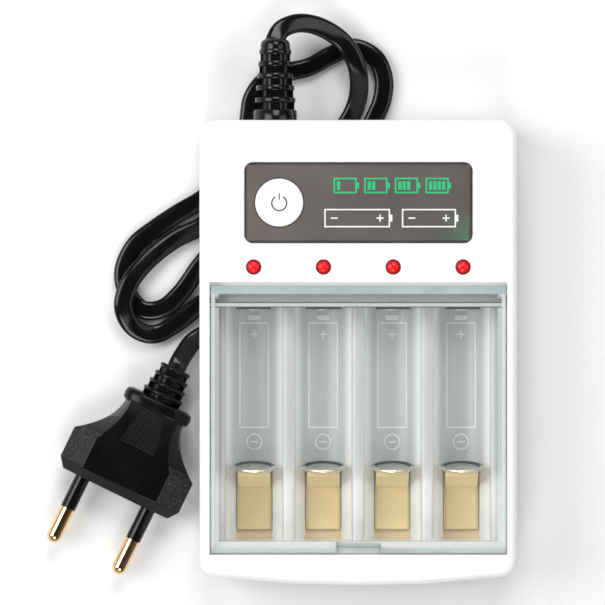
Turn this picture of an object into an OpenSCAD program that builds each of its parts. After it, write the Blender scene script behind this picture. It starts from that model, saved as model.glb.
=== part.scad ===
// Four-bay charger for AA and AAA cells, lying on its back, with a hinged clear lid,
// sprung negative contacts and a flat mains cord that ends in a two-pin plug.
// Millimetres, +Z up through the front face, +Y towards the cord end.

/* [Battery bays] */
// Distance between the centre lines of neighbouring bays
bay_pitch = 18; // [17:0.5:20]
// Diameter of the largest cell
cell_d = 14.5; // [13.5:0.5:15]
// Room between that cell and its trough, on the radius
cell_clear = 0.25; // [0.2:0.05:0.4]
// Distance between the contacts of an empty bay
rest_gap = 40.5; // [40:0.5:43]
// Travel of a sprung contact
travel = 10.5; // [10:0.25:11]
// Room between the largest cell and the lid
cell_headroom = 0.85; // [0.5:0.05:1.5]
// Land between an outer trough and the side of the bay
bay_land = 1.5; // [1:0.25:3]

/* [Case] */
// Length of the head of the case, from its end to the lid's hinge
head_l = 44.6; // [42:0.2:50]
// Wall of the two shells
wall = 1.8; // [1.4:0.1:2.2]
// Height of the back cover
back_h = 10; // [9:0.5:11]
// Corner radius of the outline
corner_r = 4.5; // [4:0.5:7]
// Rounding of the front edge
edge_r = 2; // [1:0.25:2.5]
// How far the lower end bulges past its corners
bulge = 2; // [1:0.25:3]
// Ledge that the lid rests on
ledge_w = 2.4; // [2:0.1:3]
// Rim of the case beside the lid
rim_w = 2.6; // [2.4:0.1:3.5]

/* [Lid] */
// Thickness of the lid
lid_t = 1.6; // [1.2:0.1:2]
// How far the lid stands proud of the front face
lid_proud = 0.2; // [0:0.05:0.4]
// Gap between the lid and its recess
lid_gap = 0.4; // [0.3:0.05:0.6]
// Radius of the hinge pins
pin_r = 1.1; // [0.8:0.1:1.3]
// Width of the latch tongue
latch_w = 11; // [8:0.5:14]

/* [Contacts] */
// Diameter of the dished contact cap
cap_d = 11; // [9:0.5:12]
// Lean of the cap away from the cell
cap_lean = 14; // [8:1:18]
// Width of the slider
slider_w = 9.2; // [8:0.2:10]
// Length of the slider behind the cap
slider_l = 17; // [15:0.5:18]
// Thickness of the slider
slider_t = 1.2; // [1:0.1:1.5]
// Outer diameter of the contact spring
spring_od = 4; // [3.4:0.1:4.4]
// Wire diameter of the contact spring
spring_wire = 0.5; // [0.4:0.05:0.6]

/* [Head] */
// Width of the label plate
label_w = 58.8; // [50:0.2:62]
// Height of the label plate
label_h = 20.8; // [18:0.2:23]
// Thickness of the label plate
label_t = 0.5; // [0.4:0.05:0.8]
// Distance from the end of the case to the label
label_drop = 11; // [9:0.2:12]
// Diameter of the round power mark
mark_d = 12.4; // [10:0.2:14]
// Diameter of an indicator lamp
lamp_d = 3.9; // [3:0.1:4.2]
// Distance from the lid's hinge to the lamps
lamp_rise = 6.6; // [6.4:0.1:7.4]

/* [Feet] */
// Height of the rubber feet under the back
foot_h = 4; // [3.8:0.1:6]
// Diameter of a foot
foot_d = 7; // [6:0.2:7.4]

/* [Cord] */
// Width of the flat cord
cord_w = 5; // [4.5:0.1:5.1]
// Thickness of the flat cord
cord_t = 3; // [2.6:0.1:3.1]
// Diameter of the relief's collar
relief_d = 11.4; // [10:0.2:12.4]

/* [Plug] */
// Width of the plug
plug_w = 34.4; // [32:0.2:35.2]
// Length of the plug's body, without its relief
plug_l = 27; // [25:0.5:30]
// Distance between the pins
pin_pitch = 19; // [18:0.2:20]
// Diameter of a plug pin
plug_pin_d = 4; // [3.8:0.1:4.2]
// Length of a plug pin
plug_pin_l = 19; // [17:0.5:20]

/* [Hidden] */
$fn = 48;
slack = 0.05;
slide_clear = 0.1;
side_clear = 0.2;
eps = 0.01;
far = 200;

// Centre line of each bay
bay_x = [for (i = [0:3]) (i - 1.5) * bay_pitch];

// Widths, from the bays outwards
trough_r = cell_d / 2 + cell_clear;
bay_half = 1.5 * bay_pitch + trough_r + bay_land;
recess_half = bay_half + ledge_w;
case_half = recess_half + rim_w;
lid_half = recess_half - lid_gap;

// Heights, from the feet upwards
z_back = foot_h;
z_floor = z_back + wall;
spring_z = z_floor + 0.3 + spring_od / 2;
tray_z = spring_z + spring_od / 2 + 0.3;
slot_z = tray_z + 1;
slider_z = slot_z + slide_clear;
trough_z = slider_z + slider_t + 0.3;
axis_z = trough_z + trough_r;
lid_z = axis_z + cell_d / 2 + cell_headroom;
z_front = lid_z + lid_t - lid_proud;
z_split = z_back + back_h;
ledge_z = lid_z - slide_clear;
ledge_t = 2.2;
z_over = z_front + 1;
z_under = tray_z - 1;

// Hinge of the lid
lid_over = 1.7;
hinge_z = lid_z - 0.2;
hinge_reach = norm([lid_over, lid_z + lid_t - hinge_z]);
trench_z = hinge_z - hinge_reach - 0.3;
ear_r = 2.2;
ear_t = 2;
pin_l = 1.3;

// Lengths, from the hinge downwards, measured from the hinge
pos_wall = 1.4;
contact_t = 0.5;
contact_half = 4.5;
contact_drop = 4.5;
contact_low = 0.6;
button_r = 2.4;
button_h = 0.3;
hinge_room = ear_r + 0.2;
pos_face_d = hinge_room + pos_wall;
cap_d_y = pos_face_d + contact_t + rest_gap;
slider_end_d = cap_d_y + slider_l;
bay_end_d = slider_end_d + 2.5;
end_wall = 1.4;
lid_lap = 2.9;
lid_end_d = bay_end_d + lid_lap;
pocket_in = 1;
pocket_end_d = slider_end_d + travel + 0.4 - pocket_in;
case_end_d = pocket_end_d + wall + bulge;
case_l = head_l + case_end_d;

// The same places along Y
y_top = case_l / 2;
y_low = -case_l / 2;
hinge_y = y_top - head_l;
recess_top_y = hinge_y + hinge_reach + 0.25;
pos_face_y = hinge_y - pos_face_d;
cap_y = hinge_y - cap_d_y;
slider_end_y = hinge_y - slider_end_d;
bay_end_y = hinge_y - bay_end_d;
lid_end_y = hinge_y - lid_end_d;
recess_end_y = lid_end_y - lid_gap;
corner_y = y_low + bulge;
bulge_x = case_half / 2.6;
bulge_y = y_low + bulge * 0.15;
lamp_y = hinge_y + lamp_rise;
label_y = y_top - label_drop - label_h / 2;
mark_x = -label_w / 2 + 9;

// Shadow gap between the two shells
seam_h = 0.5;
seam_in = 0.4;

// Contact cap, the slider's post and its lug
cap_t = 1.1;
cap_dish = 0.6;
cap_foot = 1.6;
cap_ear_l = 0.8;
cap_ear_w = 1.6;
cap_ear_z = 0.3;
cap_ear_t = 0.6;
post_w = slider_w - 0.8;
post_l = 5;
post_foot = 4;
post_head = 2;
post_t = 1.2;
lug_w = 3;
lug_t = 1.4;
lug_clear = 0.4;
lug_room = 0.3;
stop_half = 3;
slot_half = slider_w / 2 + side_clear;
slot_top_z = axis_z - sqrt(pow(trough_r, 2) - pow(slot_half, 2)) + slide_clear;

// Hollow in the ridges between the troughs
ridge_r = 1.2;
ridge_depth = 5.5;
ridge_wall = 1.5;
ridge_half = bay_pitch / 2 - sqrt(pow(trough_r, 2) - pow(ridge_depth, 2));
ridge_core = max(0.5, ridge_half - ridge_wall);

// Latch tongue of the lid, and the notch over it for a finger nail
latch_drop = 2;
latch_in = 0.8;
latch_t = 1.6;
latch_clear = 0.4;
latch_room = 0.3;
notch_deep = 0.6;
notch_l = 1.6;

// Head of the case
head_wall = 1.2;
label_r = 2.2;
mark_rim = 0.3;
mark_step = 0.1;
mark_h = 0.6;
lamp_flange_h = 1.2;
lamp_sink = 1.6;
board_z = z_split + 4;
board_t = 1.6;
lamp_flange_r = lamp_d / 2 + 0.35;
board_y0 = lamp_y - lamp_flange_r;
board_y1 = y_top - 5;
board_half = case_half - 10;
board_post_r = 2;
board_post_in = 4;
board_post_low = 8;
under_board = 0.6;
part_h = board_z - z_floor - under_board;
core_l = board_half * 0.7;
core_w = (board_y1 - board_y0) * 0.54;
core_x = board_half * 0.2;
core_limb = core_l / 9;
core_window = core_l / 5.5;
bobbin_l = core_l * 0.72;
bobbin_w = core_w * 0.88;
can_r = board_half / 7.75;
can_x = -board_half * 0.52;

// Screws and their bosses
screw_r = 1.1;
screw_head_r = 2.1;
screw_head_h = 1.4;
screw_sink = 0.2;
screw_clear = 0.15;
screw_room = 0.5;
cross_l = 2.6;
cross_w = 0.6;
cross_h = 0.8;
boss_r = 2.75;
boss_top_z = z_front - wall / 2;
screw_end_z = z_split + 6;
lower_boss_y = (bay_end_y - end_wall + corner_y + wall) / 2;
screw_at = [
    [-case_half + 5.5, y_top - 22], [case_half - 5.5, y_top - 22],
    [-bay_pitch, lower_boss_y], [bay_pitch, lower_boss_y]
];

// Vents and the bare field on the back
vents = 9;
vent_pitch = bay_pitch / 4;
vent_l = head_l / 3;
vent_w = 1.6;
vent_y = (y_top + hinge_y) / 2;
field_w = case_half * 1.2;
field_h = case_l / 5;
field_y = (hinge_y + bay_end_y) / 2;
field_r = 2.5;
field_deep = 0.4;

// Feet
foot_in = 4.5;
foot_low = 6;
foot_sink = 0.6;
foot_soft = 0.8;
foot_at = [
    [-case_half + foot_in, y_top - 5.5], [case_half - foot_in, y_top - 5.5],
    [-case_half + foot_in, corner_y + foot_low], [case_half - foot_in, corner_y + foot_low]
];

// Cord: hand-chosen points from the strain relief to the plug
plug_turn = -26;
route = [
    [-21.5, 79, 14], [-21.5, 81.5, 14], [-19.5, 84.5, 13], [-15, 86, 11], [-9.5, 85, 8.6],
    [-4, 81.5, 6.6], [-0.5, 76, 5.6], [0.5, 70, 3.8], [-0.5, 64.5, 2.1], [-3.5, 59, 1.7],
    [-8.5, 53.5, 1.6], [-15.5, 48.5, 1.6], [-23, 43.5, 1.6], [-32, 38.5, 1.6], [-41, 33, 1.7],
    [-48, 29.5, 2.4], [-54.5, 24.5, 3.8], [-59.5, 18.5, 5], [-61.5, 12, 5], [-59, 6.5, 3.6],
    [-53.5, 4.5, 2.2], [-47.5, 7.5, 1.7], [-41, 12.5, 1.6], [-34, 16.5, 1.6], [-26, 18.5, 1.6],
    [-18.5, 21.5, 1.6], [-14, 27.5, 1.6], [-15.5, 34, 1.6], [-21, 37, 1.6], [-28, 34, 1.6],
    [-35, 29.5, 1.6], [-41, 23, 1.6], [-46, 16, 1.6], [-51, 11.5, 1.6], [-56.5, 11, 1.6],
    [-60.5, 15.5, 1.6], [-61.5, 21.5, 1.6], [-58.5, 28, 1.6], [-53, 32.5, 1.6], [-47, 36.5, 1.6],
    [-41, 40, 1.6], [-35, 45, 1.6], [-31, 50.5, 1.6], [-29, 56, 1.6], [-28.5, 61.5, 1.6],
    [-27.5, 67, 1.6], [-24, 71.5, 1.6], [-18.5, 73.5, 1.6], [-12.5, 75, 1.6], [-7, 78, 1.6],
    [-1, 80, 1.6], [4.5, 77.5, 1.6], [7, 72, 1.6], [6.5, 66, 1.6], [4, 60, 1.6],
    [2, 53.5, 1.6], [0.5, 45, 1.6], [-1.5, 36.5, 1.6], [-4.5, 28, 1.6], [-9.5, 19.5, 1.6],
    [-17, 12.5, 1.6], [-25, 8, 1.6], [-33, 6, 1.6], [-39, 5, 1.6], [-43.2, 2.6, 2.2],
    [-45.4, -0.4, 4.4], [-46.7, -2.6, 6.3], [-47.5, -4.3, 6.85]
];
route_start = [0, 1, 0];
relief_x = route[0][0];
relief_z = route[0][2];
relief_l = route[0][1] - y_top;
neck_r = 4;
relief_collar_l = 3.2;
relief_flange_r = 5.6;
relief_flange_t = 1.6;
relief_step = 0.4;
relief_tip_r = 4.1;
relief_core_r = 3.3;
relief_ribs = 5;
web_w = 2;
web_in = 0.3;
cord_end = route[len(route) - 1];
plug_z = cord_end[2];
plug_t = 2 * plug_z;
route_end = [sin(plug_turn), -cos(plug_turn), 0];

// Plug, measured back from the cord's end
plug_relief_l = 9.5;
plug_neck_w = 16.4;
plug_collar_l = 3;
plug_collar_half = 9.4;
plug_collar_r = 9.8;
plug_collar_t = 12;
plug_neck = plug_l - plug_collar_l;
plug_neck_t = 10.8;
plug_shoulder = 11;
plug_slope = 13;
plug_corner = 1;
plug_chamfer = 0.8;
plug_bevel = 6.5;
plug_edge_half = 2;
flare_steps = 8;
plug_relief_r = 5.4;
plug_tip_r = 4.2;
plug_core_r = 3.2;
plug_ribs = 3;
sleeve_l = 9;
sleeve_wall = 0.4;

// A unit vector along v
function unit(v) = v / norm(v);

// Direction of a path at point i, with given directions at its two ends
function heading(path, i, first, last) =
    i == 0 ? unit(first) :
    i == len(path) - 1 ? unit(last) :
    unit(unit(path[i + 1] - path[i]) + unit(path[i] - path[i - 1]));

// One ring of a section swept along a path, its width axis square to ref
function ring(path, i, section, ref, first, last) =
    let (t = heading(path, i, first, last), s = unit(cross(t, ref)), u = cross(s, t))
    [for (p = section) path[i] + p[0] * s + p[1] * u];

// Flat-sided section of the twin cord
cord_section = let (a = cord_w / 2, b = cord_t / 2)
    [[a, 0.5 * b], [0.6 * a, b], [-0.6 * a, b], [-a, 0.5 * b],
     [-a, -0.5 * b], [-0.6 * a, -b], [0.6 * a, -b], [a, -0.5 * b]];

// Round section of the spring wire
wire_section = [for (k = [0:5]) spring_wire / 2 * [cos(60 * k), sin(60 * k)]];

// Tube with closed ends along a path
module sweep(path, section, ref, first, last) {
    n = len(section);
    m = len(path);
    points = [for (i = [0:m - 1]) each ring(path, i, section, ref, first, last)];
    sides = [for (i = [0:m - 2], k = [0:n - 1])
        let (a = i * n + k, b = i * n + (k + 1) % n) each [[a, b, b + n], [a, b + n, a + n]]];
    start_cap = [[for (k = [n - 1:-1:0]) k]];
    end_cap = [[for (k = [0:n - 1]) (m - 1) * n + k]];
    polyhedron(points, concat(sides, start_cap, end_cap), convexity = 10);
}

// Disc with rounded upper and lower edges, for the corners of the case
module corner_disc(r) {
    rotate_extrude($fn = 32) {
        difference() {
            translate([0, z_back]) square([r, z_front - z_back]);
            translate([r - edge_r, z_front - edge_r]) difference() {
                square(edge_r + eps);
                circle(edge_r);
            }
        }
    }
}

// Outer form of the closed case, with the bulged lower end, drawn in by a margin
module case_form(inset = 0) {
    x = case_half - corner_r;
    centres = [
        [-x, y_top - corner_r], [x, y_top - corner_r],
        [-x, corner_y + corner_r], [x, corner_y + corner_r],
        [-bulge_x, bulge_y + corner_r], [bulge_x, bulge_y + corner_r],
        [0, y_low + corner_r]
    ];
    hull() {
        for (p = centres) translate([p[0], p[1], 0]) corner_disc(corner_r - inset);
    }
}

// The part of the case between two heights
module case_slice(z0, z1, inset = 0) {
    intersection() {
        case_form(inset);
        block([-far, -far, z0], [far, far, z1]);
    }
}

// Room inside the case between two heights
module case_room(z0, z1) {
    x = case_half - wall;
    translate([-x, corner_y + wall, z0]) cube([2 * x, y_top - wall - corner_y - wall, z1 - z0]);
}

// A block given by its two corners
module block(a, b) {
    translate(a) cube(b - a);
}

// A cylinder along +Y
module rod_y(p, r, l) {
    translate(p) rotate([-90, 0, 0]) cylinder(r = r, h = l);
}

// A cylinder along +X
module rod_x(p, r, l) {
    translate(p) rotate([0, 90, 0]) cylinder(r = r, h = l);
}

module back_cover() {
    color("white") difference() {
        union() {
            difference() {
                union() {
                    case_slice(z_back, z_split - seam_h);
                    case_slice(z_split - seam_h - eps, z_split, seam_in);
                }
                case_room(z_floor, z_split + eps);
            }
            for (p = screw_at)
                translate([p[0], p[1], z_back]) cylinder(r = boss_r, h = z_split - z_back);
        }
        for (p = screw_at) translate([p[0], p[1], z_back - eps]) {
            cylinder(r = screw_head_r + side_clear, h = screw_sink + screw_head_h + eps);
            cylinder(r = screw_r + screw_clear, h = back_h + 2 * eps);
        }
        for (p = foot_at) translate([p[0], p[1], z_back - eps])
            cylinder(r = foot_d / 2 + slack, h = foot_sink + eps);
        rod_y([relief_x, y_top - wall - eps, relief_z], neck_r, wall + 2 * eps);
        for (x = bay_x) slider_channel(x, corner_y + wall + eps);
        for (k = [0:vents - 1])
            translate([(k - (vents - 1) / 2) * vent_pitch, vent_y, z_back - eps]) vent();
        translate([0, field_y, z_back - eps]) linear_extrude(field_deep + eps)
            offset(field_r) square([field_w - 2 * field_r, field_h - 2 * field_r], center = true);
    }
}

// One vent slot with round ends
module vent() {
    linear_extrude(wall + 2 * eps) hull() {
        for (s = [-1, 1]) translate([0, s * (vent_l - vent_w) / 2]) circle(d = vent_w, $fn = 24);
    }
}

// The four troughs with the walls around them
module tray() {
    block([-bay_half - end_wall, bay_end_y - end_wall, tray_z],
          [bay_half + end_wall, recess_top_y + head_wall, ledge_z]);
    block([-case_half + wall / 2, recess_end_y - wall, ledge_z - ledge_t],
          [case_half - wall / 2, recess_top_y + head_wall, ledge_z]);
    block([-case_half + wall / 2, hinge_y - hinge_room - head_wall, trench_z - head_wall],
          [case_half - wall / 2, recess_top_y + head_wall, ledge_z]);
    for (x = bay_x)
        block([x - stop_half, bay_end_y - end_wall, z_floor + side_clear],
              [x + stop_half, bay_end_y, tray_z]);
}

// Open channel of a slider, from inside the end wall up to a given place
module slider_channel(x, y1) {
    block([x - slot_half, corner_y + wall - pocket_in, slot_z], [x + slot_half, y1, slot_top_z]);
}

// What is cut away to round the two upper edges of a trough
module ridge_rounding(x) {
    for (s = [-1, 1]) translate([x + s * trough_r, pos_face_y, axis_z]) rotate([90, 0, 0])
        linear_extrude(pos_face_y - bay_end_y) difference() {
            translate([s > 0 ? -eps : -ridge_r, -ridge_r]) square([ridge_r + eps, ridge_r + eps]);
            translate([s * ridge_r, -ridge_r]) circle(ridge_r, $fn = 24);
        }
}

// Everything that is cut out of the front shell for the bays and the lid
module bay_cuts() {
    block([-recess_half, recess_end_y, ledge_z], [recess_half, recess_top_y, z_over]);
    block([-bay_half, bay_end_y, axis_z], [bay_half, pos_face_y, z_over]);
    block([-recess_half, hinge_y - hinge_room, trench_z], [recess_half, recess_top_y, z_over]);
    block([-bay_half, pos_face_y + 2 * pos_wall, z_under],
          [bay_half, recess_top_y, trench_z - head_wall]);
    for (x = bay_x) {
        rod_y([x, bay_end_y, axis_z], trough_r, pos_face_y - bay_end_y);
        ridge_rounding(x);
        slider_channel(x, cap_y - cap_foot + side_clear);
        block([x - lug_w / 2 - side_clear, cap_y - cap_foot - lug_t - travel - lug_room, z_under],
              [x + lug_w / 2 + side_clear, cap_y - cap_foot + side_clear, slot_z + eps]);
    }
    for (x = [-bay_pitch, 0, bay_pitch])
        block([x - ridge_core, bay_end_y, z_under], [x + ridge_core, pos_face_y, axis_z - ridge_depth]);
    for (s = [-1, 1])
        rod_x([s > 0 ? recess_half - eps : -recess_half - pin_l, hinge_y, hinge_z],
              pin_r + slack, pin_l + eps);
    block([-latch_w / 2 - latch_room, lid_end_y + latch_in - latch_clear, lid_z - latch_drop - latch_room],
          [latch_w / 2 + latch_room, bay_end_y, z_front]);
}

module front_shell() {
    color("white") difference() {
        union() {
            difference() {
                case_slice(z_split, z_over);
                case_room(z_split - eps, z_front - wall);
            }
            tray();
            for (p = screw_at)
                translate([p[0], p[1], z_split]) cylinder(r = boss_r, h = boss_top_z - z_split);
            for (sx = [-1, 1], y = [board_y0 + board_post_low, board_y1 - board_post_in])
                translate([sx * (board_half - board_post_in), y, board_z + board_t])
                    cylinder(r = board_post_r, h = boss_top_z - board_z - board_t);
        }
        bay_cuts();
        for (p = screw_at)
            translate([p[0], p[1], z_split - eps])
                cylinder(r = screw_r + slack, h = screw_end_z - z_split + screw_room);
        for (x = bay_x) translate([x, lamp_y, z_split]) cylinder(r = lamp_d / 2 + slack, h = z_front);
        translate([0, label_y, z_front - label_t / 2]) label_outline(slack, label_t);
        rod_y([relief_x, y_top - wall - eps, relief_z], neck_r, wall + 2 * eps);
    }
}

// Rounded rectangle of the label, grown by a margin
module label_outline(grow, h) {
    r = label_r + grow;
    x = label_w / 2 + grow;
    y = label_h / 2 + grow;
    linear_extrude(h) {
        square([2 * (x - r), 2 * y], center = true);
        square([2 * x, 2 * (y - r)], center = true);
        for (sx = [-1, 1], sy = [-1, 1]) translate([sx * (x - r), sy * (y - r)]) circle(r);
    }
}

module label_plate() {
    color("dimgray") translate([0, label_y, z_front - label_t / 2]) label_outline(0, label_t);
}

// Low dome with a rounded rim, stuck on the label
module power_mark() {
    color("whitesmoke") translate([mark_x, label_y, z_front + label_t / 2]) {
        cylinder(d = mark_d, h = mark_rim);
        cylinder(d1 = mark_d - 2 * mark_step, d2 = mark_d - 2 * mark_h, h = mark_h);
    }
}

// Red lens with a collar under the front wall, down to the board
module lamp(i) {
    color("red") translate([bay_x[i], lamp_y, 0]) {
        translate([0, 0, board_z + board_t]) cylinder(d = lamp_d, h = z_front - board_z - board_t);
        translate([0, 0, z_front - wall - lamp_flange_h]) cylinder(r = lamp_flange_r, h = lamp_flange_h);
        intersection() {
            translate([0, 0, z_front - lamp_sink]) sphere(r = norm([lamp_d / 2, lamp_sink]));
            translate([0, 0, z_front - eps]) cylinder(d = lamp_d, h = lamp_d);
        }
    }
}

module lid() {
    color([0.8, 0.95, 0.93, 0.4]) {
        difference() {
            block([-lid_half, lid_end_y, lid_z], [lid_half, hinge_y + lid_over, lid_z + lid_t]);
            block([-latch_w / 2, lid_end_y - eps, lid_z + lid_t - notch_deep],
                  [latch_w / 2, lid_end_y + notch_l, lid_z + lid_t + eps]);
        }
        block([-latch_w / 2, lid_end_y + latch_in, lid_z - latch_drop],
              [latch_w / 2, lid_end_y + latch_in + latch_t, lid_z + eps]);
        for (s = [-1, 1]) {
            rod_x([s > 0 ? lid_half - ear_t : -lid_half, hinge_y, hinge_z], lid_over, ear_t);
            rod_x([s > 0 ? lid_half - ear_t : -lid_half - lid_gap - pin_l + side_clear, hinge_y, hinge_z],
                  pin_r, ear_t + lid_gap + pin_l - side_clear);
        }
    }
}

// Dished round cap with a rolled rim and two side ears
module contact_cap(i) {
    color("silver") translate([bay_x[i], cap_y, axis_z]) rotate([90 + cap_lean, 0, 0]) {
        rotate_extrude() {
            translate([0, cap_t - cap_dish]) square([cap_d / 2 - cap_t / 2, cap_dish]);
            translate([cap_d / 2 - cap_t / 2, cap_t / 2]) circle(cap_t / 2);
        }
        translate([-cap_d / 2 - cap_ear_l, -cap_ear_w / 2, cap_ear_z])
            cube([cap_d + 2 * cap_ear_l, cap_ear_w, cap_ear_t]);
    }
}

// Y of the cap's back face, at a height over the trough's axis
function cap_back(h) = cap_y - (cap_t + h * sin(cap_lean)) / cos(cap_lean);

// Slider strip with the post behind the cap and the spring lug below
module contact_slider(i) {
    x = bay_x[i];
    y = cap_y - cap_foot;
    color("tan") {
        block([x - slider_w / 2, slider_end_y, slider_z], [x + slider_w / 2, y, slider_z + slider_t]);
        block([x - lug_w / 2, y - lug_t, z_floor + lug_clear], [x + lug_w / 2, y, slider_z + eps]);
        translate([x - post_w / 2, 0, 0]) rotate([90, 0, 90]) linear_extrude(post_w) polygon([
            [y - post_l, slider_z], [y, slider_z],
            [y, axis_z - post_foot], [cap_back(-post_foot), axis_z - post_foot],
            [cap_back(post_head), axis_z + post_head], [cap_back(post_head) - post_t, axis_z + post_head]
        ]);
    }
}

// Compression spring between the slider's lug and the end wall
module contact_spring(i) {
    y1 = cap_y - cap_foot - lug_t - spring_wire / 2 - slack;
    y0 = bay_end_y + spring_wire / 2 + slack;
    turns = 9;
    steps = 8;
    r = (spring_od - spring_wire) / 2;
    path = [for (k = [0:turns * steps])
        [bay_x[i] + r * cos(360 * k / steps), y0 + (y1 - y0) * k / (turns * steps),
         spring_z + r * sin(360 * k / steps)]];
    last = len(path) - 1;
    color("lightgray")
        sweep(path, wire_section, [0, 1, 0], path[1] - path[0], path[last] - path[last - 1]);
}

// Plate with a round button, on the upper end wall of a bay
module positive_contact(i) {
    x = bay_x[i];
    color("silver") {
        block([x - contact_half, pos_face_y - contact_t, axis_z - contact_drop],
              [x + contact_half, pos_face_y, ledge_z - contact_low]);
        translate([x, pos_face_y - contact_t + eps, axis_z]) rotate([90, 0, 0])
            cylinder(r = button_r, h = button_h);
    }
}

module circuit_board() {
    color("darkgreen") block([-board_half, board_y0, board_z], [board_half, board_y1, board_z + board_t]);
}

// Laminated core around a wound bobbin, under the board
module transformer() {
    window_x = core_l / 2 - core_limb - core_window;
    y = (board_y0 + board_y1) / 2;
    color("goldenrod") translate([core_x, y, board_z - part_h]) {
        difference() {
            translate([-core_l / 2, -core_w / 2, 0]) cube([core_l, core_w, part_h]);
            for (s = [-1, 1]) translate([s > 0 ? window_x : -window_x - core_window, -core_w, core_limb])
                cube([core_window, 2 * core_w, part_h - 2 * core_limb]);
        }
        translate([-bobbin_l / 2, -bobbin_w / 2, core_limb + side_clear])
            cube([bobbin_l, bobbin_w, part_h - 2 * core_limb - 2 * side_clear]);
    }
}

module filter_capacitor() {
    color("navy") translate([can_x, (board_y0 + board_y1) / 2, board_z - part_h])
        cylinder(r = can_r, h = part_h);
}

module case_screws() {
    color("gray") for (p = screw_at) translate([p[0], p[1], z_back + screw_sink]) {
        difference() {
            cylinder(r = screw_head_r, h = screw_head_h);
            for (a = [0, 90])
                rotate(a) translate([-cross_l / 2, -cross_w / 2, -eps]) cube([cross_l, cross_w, cross_h]);
        }
        cylinder(r = screw_r, h = screw_end_z - z_back - screw_sink);
    }
}

// Round rubber foot with a softened edge
module foot(i) {
    color("dimgray") translate([foot_at[i][0], foot_at[i][1], 0]) {
        cylinder(d1 = foot_d - 2 * foot_soft, d2 = foot_d, h = foot_soft);
        translate([0, 0, foot_soft]) cylinder(d = foot_d, h = foot_h + foot_sink - foot_soft);
    }
}

// Ribbed taper: a core with rings at equal steps, joined by webs
module ribbed_taper(l, r0, r1, core, ribs) {
    step = l / ribs;
    cylinder(r = core, h = l);
    for (k = [0:ribs - 1]) {
        r = r0 + (r1 - r0) * k / (ribs - 1);
        translate([0, 0, (k + 0.5) * step]) cylinder(r = r, h = step / 2);
    }
    intersection() {
        cylinder(r1 = r0 - web_in, r2 = r1 - web_in, h = l);
        for (a = [30, 90, 150]) rotate(a) translate([-web_w / 2, -r0, 0]) cube([web_w, 2 * r0, l]);
    }
}

module strain_relief() {
    l = relief_l - relief_collar_l;
    r = relief_d / 2 - relief_step;
    color([0.1, 0.1, 0.1]) translate([relief_x, y_top, relief_z]) rotate([-90, 0, 0]) {
        translate([0, 0, -wall - relief_flange_t]) cylinder(r = relief_flange_r, h = relief_flange_t);
        translate([0, 0, -wall]) cylinder(r = neck_r - slack, h = wall + eps);
        cylinder(d = relief_d, h = relief_collar_l);
        translate([0, 0, relief_collar_l]) ribbed_taper(l, r, relief_tip_r, relief_core_r, relief_ribs);
    }
}

module cord() {
    color([0.1, 0.1, 0.1]) sweep(route, cord_section, [0, 0, 1], route_start, route_end);
}

// Places a piece in the plug's own frame: +Y back along the cord from the pin face
module at_plug() {
    translate(cord_end) rotate(plug_turn) translate([0, -plug_relief_l - plug_l, 0]) children();
}

// Half width of the plug, at a distance behind its pin face
function plug_half(f) =
    let (t = (f - plug_shoulder) / (plug_neck - plug_shoulder))
    plug_neck_w / 2 + (plug_w - plug_neck_w) / 2 * pow(1 - t, 2);

// Plug with flared flanks, bevelled edges, a collar and a ribbed relief
module plug_body() {
    x = plug_w / 2;
    z = plug_t / 2;
    flare = [for (k = [0:flare_steps])
        let (f = plug_shoulder + (plug_neck - plug_shoulder) * k / flare_steps) [plug_half(f), f]];
    half = concat([[x - plug_corner, 0], [x, plug_corner]], flare);
    outline = concat(half, [for (k = [len(half) - 1:-1:0]) [-half[k][0], half[k][1]]]);
    side = [
        [0, -z + plug_chamfer], [plug_chamfer, -z], [plug_slope, -z], [plug_neck, -plug_neck_t / 2],
        [plug_neck, plug_neck_t / 2], [plug_slope, z], [plug_chamfer, z], [0, z - plug_chamfer]
    ];
    section = [
        [x, -plug_edge_half], [x, plug_edge_half], [x - plug_bevel, z], [-x + plug_bevel, z],
        [-x, plug_edge_half], [-x, -plug_edge_half], [-x + plug_bevel, -z], [x - plug_bevel, -z]
    ];
    color([0.1, 0.1, 0.1]) at_plug() {
        intersection() {
            linear_extrude(plug_t, center = true) polygon(outline);
            rotate([90, 0, 90]) linear_extrude(plug_w, center = true) polygon(side);
            rotate([90, 0, 0]) linear_extrude(2 * plug_l, center = true) polygon(section);
        }
        translate([0, plug_neck, 0]) intersection() {
            translate([-plug_collar_half, 0, -plug_collar_t / 2])
                cube([2 * plug_collar_half, plug_collar_l, plug_collar_t]);
            rotate([-90, 0, 0]) cylinder(r = plug_collar_r, h = plug_collar_l);
        }
        translate([0, plug_l, 0]) rotate([-90, 0, 0])
            ribbed_taper(plug_relief_l, plug_relief_r, plug_tip_r, plug_core_r, plug_ribs);
    }
}

module plug_pin(i) {
    r = plug_pin_d / 2;
    color([0.85, 0.65, 0.4]) at_plug() translate([(i - 0.5) * pin_pitch, 0, 0]) rotate([90, 0, 0]) {
        cylinder(r = r - sleeve_wall - slack, h = sleeve_l + eps);
        translate([0, 0, sleeve_l]) cylinder(r = r, h = plug_pin_l - sleeve_l - r);
        translate([0, 0, plug_pin_l - r]) sphere(r);
    }
}

module pin_sleeve(i) {
    r = plug_pin_d / 2;
    color([0.1, 0.1, 0.1]) at_plug() translate([(i - 0.5) * pin_pitch, 0, 0]) rotate([90, 0, 0])
        difference() {
            cylinder(r = r, h = sleeve_l);
            translate([0, 0, -eps]) cylinder(r = r - sleeve_wall, h = sleeve_l + 2 * eps);
        }
}

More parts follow.
